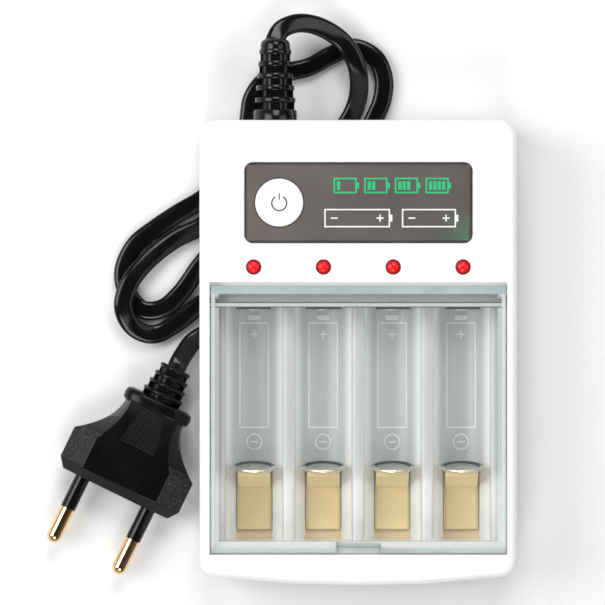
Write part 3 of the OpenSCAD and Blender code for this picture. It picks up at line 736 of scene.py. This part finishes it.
def add_ribbed_taper(bm, place, length, wide, narrow, ribs, tip=0):
    """A tapered relief along +Z: soft rings on a core, joined by webs, and a plain tip."""
    step = length / ribs
    bend = 0.3 * RING_SOFT
    add_lathe(bm, [(0, 0), (RELIEF_CORE, 0), (RELIEF_CORE, length), (0, length)], place, steps=24)
    for k in range(ribs):
        r = wide + (narrow - wide) * k / (ribs - 1)
        foot, low, high = k * step, (k + 1 - RING_SHARE) * step, (k + 1) * step
        add_lathe(bm, [
            (0, low), (r - RING_SOFT, low), (r - bend, low + bend), (r, low + RING_SOFT),
            (r, high - RING_SOFT), (r - bend, high - bend), (r - RING_SOFT, high), (0, high),
        ], place, steps=48)
        spine, reach, top = SPINE_HALF[k % 2], r - RING_SOFT, high - RING_SOFT
        add_box(bm, (-spine, -reach, foot), (spine, reach, top), place)
        add_box(bm, (-reach, -SIDE_WEB_HALF, foot), (reach, SIDE_WEB_HALF, top), place)
    if tip:
        rim, foot = narrow - RING_SOFT, length - RING_SOFT
        add_lathe(bm, [
            (0, foot), (rim, foot), (rim, length + 0.5 * tip), (0.93 * rim, length + 0.8 * tip),
            (0.75 * rim, length + tip), (0, length + tip),
        ], place, steps=48)


# Operators

FLOOR_RADIUS = 2.5
LIGHT_AIM = Vector((0, 0.01, 0.02))
# Place, size and power of each soft box, in metres and watts
SOFT_BOXES = {
    "left_box": ((-0.64, 0.15, 0.76), 0.6, 5.6),
    "right_box": ((0.66, 0.1, 0.75), 0.6, 2.1),
    "far_box": ((0.06, 0.62, 0.8), 0.45, 3.9),
    "near_box": ((-0.06, -0.62, 0.8), 0.45, 3.5),
}
WALL_LEFT, WALL_RIGHT, CEILING = 0.5, 0.12, 0.03
ROOM_TINT = (0.96, 0.98, 1.0, 1)
VIEW_X, VIEW_Y = -14.4, 12.9


class ChargerStage(bpy.types.Operator):
    """Pale floor, soft light and the camera straight above"""

    bl_idname = "charger.stage"
    bl_label = "Stage"

    def execute(self, context):
        scene = context.scene
        bm = bmesh.new()
        bmesh.ops.create_circle(bm, cap_ends=True, radius=FLOOR_RADIUS, segments=64)
        floor = linked("floor", mesh_of(bm, "floor", smooth=False))
        floor.data.materials.append(finish("pale_paper"))
        scene.world = bpy.data.worlds.new("soft_room")
        self.room_light(scene.world)
        scene.view_settings.view_transform = "Standard"
        for name, (place, size, power) in SOFT_BOXES.items():
            light = bpy.data.lights.new(name, "AREA")
            light.energy, light.size = power, size
            made = linked(name, light)
            made.location = place
            made.rotation_mode = "QUATERNION"
            made.rotation_quaternion = (LIGHT_AIM - made.location).to_track_quat("-Z", "Y")
        camera = linked("camera", bpy.data.cameras.new("camera"))
        camera.data.lens = sizes().view_lens
        distance = sizes().view_width / camera.data.sensor_width * camera.data.lens
        camera.location = (VIEW_X * MM, VIEW_Y * MM, FRONT_Z * MM + distance)
        camera.data.clip_start, camera.data.clip_end = 0.05, 20
        scene.camera = camera
        return {"FINISHED"}

    def room_light(self, world):
        """Walls that fade from left to right below a dark ceiling, so that polished tops stay dark."""
        world.use_nodes = True
        room = Tree(world.node_tree)
        x, _, z = room.split(room.node("ShaderNodeTexCoord").outputs["Generated"])
        walls = room.remap(x, -1, 1, WALL_LEFT, WALL_RIGHT)
        background = room.tree.nodes["Background"].inputs
        room.feed(ROOM_TINT, background["Color"])
        room.feed(room.remap(z, 0.25, 0.92, walls, CEILING, interpolation_type="SMOOTHSTEP"),
                  background["Strength"])


RELIEF_FOOT_END = 3.2
RELIEF_FOOT = (
    (0, -3.4), (5.6, -3.4), (5.6, -1.8), (3.9, -1.8), (3.9, 0), (5.4, 0.05), (5.7, 0.4), (5.7, 2.7),
    (5.4, 3.1), (0, RELIEF_FOOT_END),
)


class ChargerRelief(bpy.types.Operator):
    """Ribbed strain relief on the end of the case"""

    bl_idname = "charger.relief"
    bl_label = "Strain relief"

    def execute(self, context):
        bm = bmesh.new()
        cord = CORD_ROUTE[0]
        place = Matrix.Translation((cord.x, CASE_END_Y, cord.z)) @ ALONG_Y
        add_lathe(bm, RELIEF_FOOT, place, steps=40)
        length = box("strain_relief")[1].y - CASE_END_Y - RELIEF_FOOT_END
        add_ribbed_taper(bm, place @ Matrix.Translation((0, 0, RELIEF_FOOT_END)), length,
                         wide=5.3, narrow=4.2, ribs=5, tip=2.6)
        piece("ribbed_relief", bm, ["cord_rubber"], "case", ["strain_relief"], angle=40)
        return {"FINISHED"}


# Distance from the plug's pin face, half width, half width of the flats and half thickness
PLUG_FACE = ((0, 15.2, 9.4, 4.2), (2.6, 17.2, 10.7, PLUG_HALF))
NECK_FROM, NECK_LENGTH, NECK_STEPS = 11, 13, 8
NECK_HALF, NECK_FLARE, NECK_THINNED = 8.2, 9.0, 1.45
SPARKED_FROM, SPARKED_TO = 1.5, 12
# Distance from the pin face, half width and half thickness
COLLAR = ((23.4, 8.4, 5.0), (23.9, 9.3, 5.8), (25.4, 9.5, 6.0), (26.6, 9.2, 5.7), (27.1, 8.2, 4.8))
TAPER_FROM, TAPER_LENGTH = 26.8, 9.6
GRIP_FROM = 13.6
GRIP_BAR = (1, 0.3, 0.34)


def plug_nodes():
    return [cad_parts[f"{name}_{i}"] for name in ("plug_pin", "pin_sleeve") for i in (1, 2)]


class ChargerPlug(bpy.types.Operator):
    """Moulded plug with slanted sides, grip lines, collar and ribbed relief"""

    bl_idname = "charger.plug"
    bl_label = "Plug"

    def execute(self, context):
        bm = bmesh.new()
        place = at_plug()
        add_rings(bm, [[place @ Vector(p) for p in ring] for ring in self.body_rings()])
        bm.normal_update()
        upright = place.inverted()
        for face in bm.faces:
            y = (upright @ face.calc_center_median()).y
            slanted = 0.2 < abs((upright.to_3x3() @ face.normal).z) < 0.95
            face.material_index = int(slanted and SPARKED_FROM < y < SPARKED_TO)
        add_rings(bm, [
            [place @ Vector((x, y, z)) for x, z in oval(2 * wide, 2 * thick, steps=32, power=3.2)]
            for y, wide, thick in COLLAR
        ])
        add_ribbed_taper(bm, place @ Matrix.Translation((0, TAPER_FROM, 0)) @ ALONG_Y, TAPER_LENGTH,
                         wide=5.6, narrow=4.2, ribs=4)
        made = piece("moulded_plug", bm, ["plug_plastic", "plug_sparked_sides"], "case",
                     ["plug_body"], angle=35)
        bevelled(made, 0.4, segments=3, angle=30)
        piece("plug_grip", self.grip(), ["grip_plastic"], "case")
        for node in plug_nodes():
            paint(node, "pin_brass" if node.name.startswith("plug_pin") else "sleeve_plastic")
        return {"FINISHED"}

    def body_rings(self):
        """Eight-sided rings from the pin face to the end of the neck."""
        stations = [*PLUG_FACE]
        for k in range(NECK_STEPS + 1):
            t = k / NECK_STEPS
            wide = NECK_HALF + NECK_FLARE * (1 - t) ** 2
            stations.append((NECK_FROM + NECK_LENGTH * t, wide, wide * (0.62 + 0.2 * t),
                             PLUG_HALF - NECK_THINNED * t * t))
        for y, wide, flat, thick in stations:
            side = min(2.0, 0.4 * thick)
            half = [(wide, -side), (wide, side), (flat, thick), (-flat, thick)]
            yield [(x, y, z) for x, z in half] + [(-x, y, -z) for x, z in half]

    def grip(self):
        """Fine lines across both flats, which follow the narrowing neck."""
        tree = Growth("grip_lines", Lines=15, Pitch=0.62, Widest=9.6, Narrowing=0.26, Sink=0.0077)
        given = tree.inputs
        step = tree.node("ShaderNodeCombineXYZ", {"Y": given["Pitch"]}).outputs[0]
        line = tree.node("GeometryNodeMeshLine", {"Count": given["Lines"], "Offset": step}).outputs[0]
        y = tree.split(tree.node("GeometryNodeInputPosition").outputs[0])[1]
        on_neck = tree.math("ADD", y, GRIP_FROM - NECK_FROM)
        fall = tree.math("SUBTRACT", 0.0, tree.product(on_neck, on_neck, given["Sink"]))
        lower = tree.node("ShaderNodeCombineXYZ", {"Z": fall}).outputs[0]
        moved = tree.node("GeometryNodeSetPosition", {"Geometry": line, "Offset": lower}).outputs[0]
        wide = tree.math("SUBTRACT", given["Widest"], tree.product(y, given["Narrowing"]))
        stretch = tree.node("ShaderNodeCombineXYZ", {"X": wide, "Y": 1.0, "Z": 1.0}).outputs[0]
        bar = tree.node("GeometryNodeMeshCube", {"Size": GRIP_BAR}).outputs[0]
        bars = tree.node("GeometryNodeInstanceOnPoints", {"Points": moved, "Instance": bar, "Scale": stretch})
        tree.close(bars.outputs[0], finish("grip_plastic"))
        both = bmesh.new()
        for side in SIDES:
            mesh = tree.grown("plug_grip", Lines=sizes().grip_lines)
            mesh.transform(at_plug() @ Matrix.Diagonal((1, 1, side, 1))
                           @ Matrix.Translation((0, GRIP_FROM, PLUG_HALF)))
            both.from_mesh(mesh)
            bpy.data.meshes.remove(mesh)
        return mesh_of(both, "plug_grip", smooth=False)


class ChargerCord(bpy.types.Operator):
    """Flat twin cord on its whole route"""

    bl_idname = "charger.cord"
    bl_label = "Cord"

    def execute(self, context):
        route = smooth_line(CORD_ROUTE, steps=6)
        section = oval(sizes().cord_width / MM, sizes().cord_thickness / MM, steps=36, power=3.6)
        into_plug = (math.sin(PLUG_TURN), -math.cos(PLUG_TURN), 0)
        bm = bmesh.new()
        add_rings(bm, flat_rings(route, section, first=(0, 1, 0), last=into_plug))
        made = piece("flat_cord", bm, ["cord_rubber"], "case", ["cord"], angle=60)
        line = [point * MM for point in route]
        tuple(line[0])
        round(line_length(line), 4)
        return {"FINISHED"}


# Finish of each solid that is seen as it is, by the start of its name
SOLID_FINISHES = {
    "back_cover": "white_moulded_plastic", "front_shell": "white_moulded_plastic",
    "positive_contact": "plate_nickel", "case_screws": "zinc_steel", "foot": "foot_rubber",
    "circuit_board": "board_lacquer", "transformer": "winding_tape", "filter_capacitor": "capacitor_sleeve",
}


class ChargerShells(bpy.types.Operator):
    """Finishes of the shells, fixed contacts, feet, screws and inner parts"""

    bl_idname = "charger.shells"
    bl_label = "Shells and small parts"

    def execute(self, context):
        for name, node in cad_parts.items():
            for start, material in SOLID_FINISHES.items():
                if name.startswith(start):
                    paint(node, material)
        return {"FINISHED"}


LID_UNDER_Z = 28.6
NOTCH_HALF, NOTCH_DEPTH = 5.5, 1.6
TONGUE_BELOW = 0.6
LATCH_FROM, LATCH_TO, LATCH_DEPTH = 0.8, 2.4, 2
LID_PIN_X = 36
LID_PIN = ((0, 0), (1.7, 0), (1.7, 2), (1.1, 2), (1.1, 3.4), (1.0, 3.5), (0, 3.5))
LID_PLATE, LID_TONGUE, LID_EDGE = range(3)


class ChargerLid(bpy.types.Operator):
    """Clear lid with tinted edges, thumb notch, latch tongue and hinge pins"""

    bl_idname = "charger.lid"
    bl_label = "Lid"

    def execute(self, context):
        low_y, high_y, top = LID_LOW.y, LID_HIGH.y, LID_HIGH.z
        notch_y = low_y + NOTCH_DEPTH
        outline = [(-LID_HALF, low_y), (-NOTCH_HALF, low_y), (-NOTCH_HALF, notch_y), (NOTCH_HALF, notch_y),
                   (NOTCH_HALF, low_y), (LID_HALF, low_y), (LID_HALF, high_y), (-LID_HALF, high_y)]
        bm = bmesh.new()
        under = bm.faces.new([bm.verts.new((x, y, LID_UNDER_Z)) for x, y in outline])
        painted_light_step = bmesh.ops.extrude_face_region(bm, geom=[under])["geom"]
        for vert in (v for v in painted_light_step if isinstance(v, bmesh.types.BMVert)):
            vert.co.z = top
        bmesh.ops.recalc_face_normals(bm, faces=bm.faces)
        for face in bm.faces:
            face.material_index = LID_PLATE if abs(face.normal.z) > 0.9 else LID_EDGE
        add_box(bm, (-NOTCH_HALF, low_y, LID_UNDER_Z), (NOTCH_HALF, notch_y, top - TONGUE_BELOW),
                material=LID_TONGUE)
        add_box(bm, (-NOTCH_HALF, low_y + LATCH_FROM, LID_UNDER_Z - LATCH_DEPTH),
                (NOTCH_HALF, low_y + LATCH_TO, LID_UNDER_Z), material=LID_TONGUE)
        for side in SIDES:
            turn = Matrix.Rotation(side * math.pi / 2, 4, "Y")
            place = Matrix.Translation((side * LID_PIN_X, HINGE_Y, HINGE_Z)) @ turn
            add_lathe(bm, LID_PIN, place, steps=28, material=LID_TONGUE)
        materials = ["clear_plastic", "clear_plastic_tongue", "clear_plastic_edge"]
        made = piece("clear_cover", bm, materials, "lid", ["lid"], angle=30)
        bevelled(made, 0.18, segments=2, angle=40)
        return {"FINISHED"}


DISC = ((0, 0), (6.2, 0), (6.2, 0.22), (6.1, 0.34), (5.9, 0.42), (5.5, 0.47), (3, 0.52), (0, 0.54))
SYMBOL_Z, SYMBOL_HEIGHT, SYMBOL_LINE = 0.53, 0.04, 0.36
SYMBOL_BAR, SYMBOL_BAR_LINE = ((0, 0.75), (0, 2.4)), 0.3
# Charge pictograms, from the middle of the label
CHARGE_LEFT, CHARGE_PITCH, CHARGE_LOW = -6.2, 7.9, 2.6
CHARGE_WIDE, CHARGE_TALL, CHARGE_LINE = 5.6, 3.6, 0.42
BAR_FROM, BAR_WIDE, BAR_GAP, BAR_IN = 0.68, 0.85, 0.28, 0.7
CELL_BUTTON = 0.6
# Left end and width of the two pictograms of a cell with its signs
SIGNED_CELLS = ((-8.6, 16.6), (11.4, 13.6))
SIGNED_LOW, SIGNED_TALL, SIGNED_LINE = -6.2, 4.4, 0.36
SIGN_IN, SIGN_HALF = 2.4, 0.9
# Corner dots: the place of their field in the corner, and where in it they are largest
DOTS_IN_X, DOTS_IN_Y = 9.4, 4.4
DOTS_LARGEST_AT = (8.2, -3.4, 0)
DOTS_REACH, DOT_SMALLEST = 12.0, 0.03


class ChargerLabel(bpy.types.Operator):
    """Dark film, round power mark, battery pictograms and the dots in its corner"""

    bl_idname = "charger.label"
    bl_label = "Label"

    def execute(self, context):
        paint(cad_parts["label_plate"], "label_film")
        self.mark()
        self.pictograms()
        self.dots()
        return {"FINISHED"}

    def mark(self):
        """White disc with a grey power symbol."""
        bm = bmesh.new()
        foot = Vector((MARK_MID.x, MARK_MID.y, MARK_LOW.z))
        add_lathe(bm, DISC, Matrix.Translation(foot), steps=72)
        piece("power_disc", bm, ["mark_enamel"], "case", ["power_mark"], angle=50)
        bm = bmesh.new()

        def on_disc(u, v, h):
            return foot + Vector((u, v, SYMBOL_Z + h))

        ring = arc(centre=(0, -0.15), radius=1.92, start=122, end=418, steps=48)
        add_stroke(bm, ring, SYMBOL_LINE, SYMBOL_HEIGHT, on_disc)
        add_stroke(bm, SYMBOL_BAR, SYMBOL_BAR_LINE, SYMBOL_HEIGHT, on_disc)
        piece("power_symbol", bm, ["grey_ink"], "case", angle=30)

    def pictograms(self):
        """Four charge levels in green above a long and a short cell in white."""
        high = sizes().print_height / MM

        def on_film(u, v, h):
            return Vector((u, LABEL_MID.y + v, LABEL_HIGH.z + h))

        green, white = bmesh.new(), bmesh.new()
        for k in range(4):
            left = CHARGE_LEFT + CHARGE_PITCH * k
            self.cell(green, on_film, high, left, CHARGE_LOW, CHARGE_WIDE, CHARGE_TALL, CHARGE_LINE)
            for level in range(k + 1):
                x = left + BAR_FROM + level * (BAR_WIDE + BAR_GAP) + BAR_WIDE / 2
                bar = [(x, CHARGE_LOW + BAR_IN), (x, CHARGE_LOW + CHARGE_TALL - BAR_IN)]
                add_stroke(green, bar, BAR_WIDE, high, on_film)
        level = SIGNED_LOW + SIGNED_TALL / 2
        for left, wide in SIGNED_CELLS:
            self.cell(white, on_film, high, left, SIGNED_LOW, wide, SIGNED_TALL, SIGNED_LINE)
            minus, plus = left + SIGN_IN, left + wide - SIGN_IN
            for x in (minus, plus):
                add_stroke(white, row(x - SIGN_HALF, x + SIGN_HALF, level), SIGNED_LINE, high, on_film)
            upright = [(plus, level - SIGN_HALF), (plus, level + SIGN_HALF)]
            add_stroke(white, upright, SIGNED_LINE, 1.3 * high, on_film)
        piece("green_cells", green, ["green_ink"], "case", angle=30)
        piece("white_cells", white, ["white_ink"], "case", angle=30)

    def cell(self, bm, place, high, left, low, wide, tall, line):
        """Outline of one lying cell with its button."""
        add_stroke(bm, rectangle((left, low), (left + wide, low + tall)), line, high, place, closed=True)
        x = left + wide + (line + CELL_BUTTON) / 2
        add_stroke(bm, [(x, low + 0.3 * tall), (x, low + 0.7 * tall)], CELL_BUTTON, high, place)

    def dots(self):
        """Green dots that shrink away from the lower right corner."""
        tree = Growth("corner_dots", Columns=26, Rows=11, Pitch=0.62, Largest=0.24)
        given = tree.inputs
        grid = tree.node("GeometryNodeMeshGrid", {
            "Size X": tree.product(given["Columns"], given["Pitch"]),
            "Size Y": tree.product(given["Rows"], given["Pitch"]),
            "Vertices X": given["Columns"], "Vertices Y": given["Rows"]})
        disc = tree.node("GeometryNodeMeshCylinder", {"Vertices": 8, "Radius": 1.0, "Depth": 0.12})
        apart = tree.distance(tree.node("GeometryNodeInputPosition").outputs[0], DOTS_LARGEST_AT)
        radius = tree.remap(apart, 0.0, DOTS_REACH, given["Largest"], 0.0)
        seen = tree.node("FunctionNodeCompare", {"A": radius, "B": DOT_SMALLEST}, operation="GREATER_THAN")
        spots = tree.node("GeometryNodeInstanceOnPoints", {
            "Points": grid.outputs["Mesh"], "Selection": seen.outputs[0],
            "Instance": disc.outputs["Mesh"], "Scale": radius})
        tree.close(spots.outputs[0], finish("dot_ink"))
        mesh = tree.grown("corner_dots")
        mesh.transform(Matrix.Translation((LABEL_HIGH.x - DOTS_IN_X, LABEL_LOW.y + DOTS_IN_Y, LABEL_HIGH.z)))
        piece("corner_dots", mesh, [], "case")


LAMP_R, LAMP_FLANGE_R = 1.95, 2.3
FLANGE_LOW_Z, FLANGE_HIGH_Z = FRONT_Z - 3, FRONT_Z - 1.8
DOME_DROP, DOME_STEPS = 1.6, 8


class ChargerLamps(bpy.types.Operator):
    """Four red lenses in their holes"""

    bl_idname = "charger.lamps"
    bl_label = "Lamps"

    def execute(self, context):
        low = box("lamp_1")[0].z
        ball = math.hypot(LAMP_R, DOME_DROP)
        turns = [math.asin(LAMP_R / ball) * (1 - k / DOME_STEPS) for k in range(DOME_STEPS)]
        dome = [(ball * math.sin(a), FRONT_Z - DOME_DROP + ball * math.cos(a)) for a in turns]
        profile = [(0, low), (LAMP_R, low), (LAMP_R, FLANGE_LOW_Z), (LAMP_FLANGE_R, FLANGE_LOW_Z),
                   (LAMP_FLANGE_R, FLANGE_HIGH_Z), (LAMP_R, FLANGE_HIGH_Z), *dome,
                   (0, FRONT_Z - DOME_DROP + ball)]
        bm = bmesh.new()
        for x in BAY_X:
            add_lathe(bm, profile, Matrix.Translation((x, middle("lamp_1").y, 0)), steps=36)
        piece("red_lamps", bm, ["red_lens"], "case", [f"lamp_{i}" for i in BAYS], angle=45)
        return {"FINISHED"}


CAP_Y = -29.35
CAP_LEAN = math.radians(90 + 11)
RIM_R, RIM_AT = 0.55, 4.95
CAP = (
    (0, 0.3), (2.2, 0.32), (2.6, 0.42), (2.9, 0.5), (4.2, 0.5),
    *((RIM_AT + r, RIM_R + h) for r, h in arc((0, 0), RIM_R, -160, 160, 16)),
    (4.2, 1.1), (0, 1.1),
)
SHADE_RIM_R = 4.1
EAR_X, EAR_Z, EAR_FLATTENED = 5.5, 0.6, 0.375
EAR = ((0, -0.6), (0.8, -0.6), (0.8, 0.4), (0.62, 0.7), (0.3, 0.8), (0, 0.8))


class ChargerContacts(bpy.types.Operator):
    """Dished nickel caps with rolled rims and side ears"""

    bl_idname = "charger.contacts"
    bl_label = "Contact caps"

    def execute(self, context):
        for i, x in zip(BAYS, BAY_X):
            place = Matrix.Translation((x, CAP_Y, TROUGH_AXIS_Z)) @ Matrix.Rotation(CAP_LEAN, 4, "X")
            bm = bmesh.new()
            add_lathe(bm, CAP, place, steps=56)
            # The lower part of each cap's rim gets painted shade.
            for face in bm.faces:
                at = place.inverted() @ face.calc_center_median()
                in_painted_shade = math.hypot(at.x, at.y) > SHADE_RIM_R and at.y < 0.4 and at.z < 0.62
                face.material_index = int(in_painted_shade)
            for side in SIDES:
                turn = Matrix.Rotation(side * math.pi / 2, 4, "Y") @ Matrix.Diagonal((EAR_FLATTENED, 1, 1, 1))
                add_lathe(bm, EAR, place @ Matrix.Translation((side * EAR_X, 0, EAR_Z)) @ turn, steps=20)
            piece(f"contact_dish_{i}", bm, ["cap_nickel", "tarnished_nickel"], f"contact_{i}",
                  [f"contact_cap_{i}"], angle=50)
        return {"FINISHED"}


STRIP_SIDE_Z, STRIP_CHAMFER = 12.3, 0.7
POST_HALF, POST_FOOT_Z, POST_TOP, POST_LEAN = 4.2, 16.5, 1.2, math.radians(14)
POST_HEEL = 5
LUG_HALF, LUG_LENGTH = 1.5, 1.4


class ChargerSliders(bpy.types.Operator):
    """Tan sliders with chamfered sides, the post behind each cap and the lug below"""

    bl_idname = "charger.sliders"
    bl_label = "Sliders"

    def execute(self, context):
        base, top, front = SLIDER_BASE_Z, SLIDER_TOP_Z, SLIDER_FRONT_Y
        for i, x in zip(BAYS, BAY_X):
            low, high = box(f"contact_slider_{i}")
            half = (high.x - low.x) / 2
            inner = half - STRIP_CHAMFER
            strip = [(-half, base), (half, base), (half, STRIP_SIDE_Z), (inner, top), (-inner, top),
                     (-half, STRIP_SIDE_Z)]
            slope = high.y - (high.z - POST_FOOT_Z) * math.tan(POST_LEAN)
            post = [(front - POST_HEEL, base), (front, base), (front, POST_FOOT_Z), (high.y, POST_FOOT_Z),
                    (slope, high.z), (slope - POST_TOP, high.z)]
            bm = bmesh.new()
            add_rings(bm, [[(x + u, y, z) for u, z in strip] for y in (low.y, front)])
            add_rings(bm, [[(x + u, y, z) for y, z in post] for u in (-POST_HALF, POST_HALF)])
            add_box(bm, (x - LUG_HALF, front - LUG_LENGTH, low.z), (x + LUG_HALF, front, base))
            made = piece(f"tan_slider_{i}", bm, ["tan_plastic"], f"contact_{i}",
                         [f"contact_slider_{i}"], angle=20)
            bevelled(made, 0.12, segments=2, angle=25)
        return {"FINISHED"}


MARK_LINE = 0.45
MARK_CELL_LOW, MARK_CELL_HIGH = (-4, -19.7), (4, 7.6)
BUTTON_HALF, BUTTON_Y, BUTTON_TALL = 1.7, 8.9, 1.3
MINUS_Y, MINUS_HALF, MINUS_RING_R = -23.5, 1, 2.0
PLUS_Y, PLUS_HALF = 4.6, 1.1


class ChargerBayMarks(bpy.types.Operator):
    """Raised cell outlines and signs moulded in the four bays"""

    bl_idname = "charger.bay_marks"
    bl_label = "Bay marks"

    def execute(self, context):
        bm = bmesh.new()
        high = sizes().emboss / MM
        ring = arc((0, MINUS_Y), MINUS_RING_R, 0, 352, 40)[:-1]
        for x in BAY_X:
            def on_trough(u, v, h, x=x):
                angle, reach = u / TROUGH_R, TROUGH_R - h
                return Vector((x + reach * math.sin(angle), v, TROUGH_AXIS_Z - reach * math.cos(angle)))

            cell = rectangle(MARK_CELL_LOW, MARK_CELL_HIGH, steps=12)
            add_stroke(bm, cell, MARK_LINE, high, on_trough, closed=True)
            add_stroke(bm, row(-BUTTON_HALF, BUTTON_HALF, BUTTON_Y, 6), BUTTON_TALL, high, on_trough)
            add_stroke(bm, ring, MARK_LINE, high, on_trough, closed=True)
            add_stroke(bm, row(-MINUS_HALF, MINUS_HALF, MINUS_Y, 4), MARK_LINE, high, on_trough)
            add_stroke(bm, row(-PLUS_HALF, PLUS_HALF, PLUS_Y, 4), MARK_LINE, high, on_trough)
            upright = [(0, PLUS_Y - PLUS_HALF), (0, PLUS_Y + PLUS_HALF)]
            add_stroke(bm, upright, MARK_LINE, 1.2 * high, on_trough)
        piece("bay_marks", bm, ["raised_plastic"], "case", angle=35)
        return {"FINISHED"}


SPRING_WIRE_R = 0.25


class ChargerSprings(bpy.types.Operator):
    """Coil springs under the sliders, each with a mesh of its own"""

    bl_idname = "charger.springs"
    bl_label = "Springs"

    def execute(self, context):
        tree = Growth("coil", Turns=9.0, Radius=1.75, Length=16.0, Wire=SPRING_WIRE_R)
        given = tree.inputs
        coil = tree.node("GeometryNodeCurveSpiral", {
            "Resolution": 24, "Rotations": given["Turns"], "Start Radius": given["Radius"],
            "End Radius": given["Radius"], "Height": given["Length"]})
        wire = tree.node("GeometryNodeCurvePrimitiveCircle", {"Radius": given["Wire"], "Resolution": 8})
        tube = tree.node("GeometryNodeCurveToMesh", {
            "Curve": coil.outputs[0], "Profile Curve": wire.outputs[0], "Fill Caps": True})
        tree.close(tube.outputs[0], finish("zinc_steel"))
        for i in BAYS:
            name, joint = f"contact_spring_{i}", f"contact_slide_{i}"
            low, high = box(name)
            centre = middle(name)
            length = high.y - low.y - 2 * SPRING_WIRE_R
            mesh = tree.grown(f"coil_spring_{i}", Length=length)
            far_end = Matrix.Translation((centre.x, high.y - SPRING_WIRE_R, centre.z))
            mesh.transform(far_end @ ALONG_Y.inverted())
            made = piece(f"coil_spring_{i}", mesh, [], "case", [name])
            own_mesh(made)
        return {"FINISHED"}


CLASSES = (
    ChargerSizes, ChargerColours, ChargerStage, ChargerRelief, ChargerPlug, ChargerCord, ChargerShells,
    ChargerLid, ChargerLabel, ChargerLamps, ChargerContacts, ChargerSliders, ChargerBayMarks, ChargerSprings,
)


class ChargerPanel(bpy.types.Panel):
    """Buttons that make the charger's pieces one by one"""

    bl_idname = "VIEW3D_PT_charger"
    bl_label = "Charger"
    bl_space_type = "VIEW_3D"
    bl_region_type = "UI"
    bl_category = "Charger"

    def draw(self, context):
        for made in CLASSES:
            if issubclass(made, bpy.types.Operator):
                self.layout.operator(made.bl_idname)


def register():
    for made in (*CLASSES, ChargerPanel):
        bpy.utils.register_class(made)
    bpy.types.Scene.charger_sizes = PointerProperty(type=ChargerSizes)
    bpy.types.Scene.charger_colours = PointerProperty(type=ChargerColours)


def unregister():
    del bpy.types.Scene.charger_colours
    del bpy.types.Scene.charger_sizes
    for made in reversed((*CLASSES, ChargerPanel)):
        bpy.utils.unregister_class(made)


def main():
    register()
    bpy.ops.charger.stage()
    bpy.ops.charger.relief()
    bpy.ops.charger.plug()
    bpy.ops.charger.cord()
    bpy.ops.charger.shells()
    bpy.ops.charger.lid()
    bpy.ops.charger.label()
    bpy.ops.charger.lamps()
    bpy.ops.charger.contacts()
    bpy.ops.charger.sliders()
    bpy.ops.charger.bay_marks()
    bpy.ops.charger.springs()


if __name__ == "__main__":
    main()
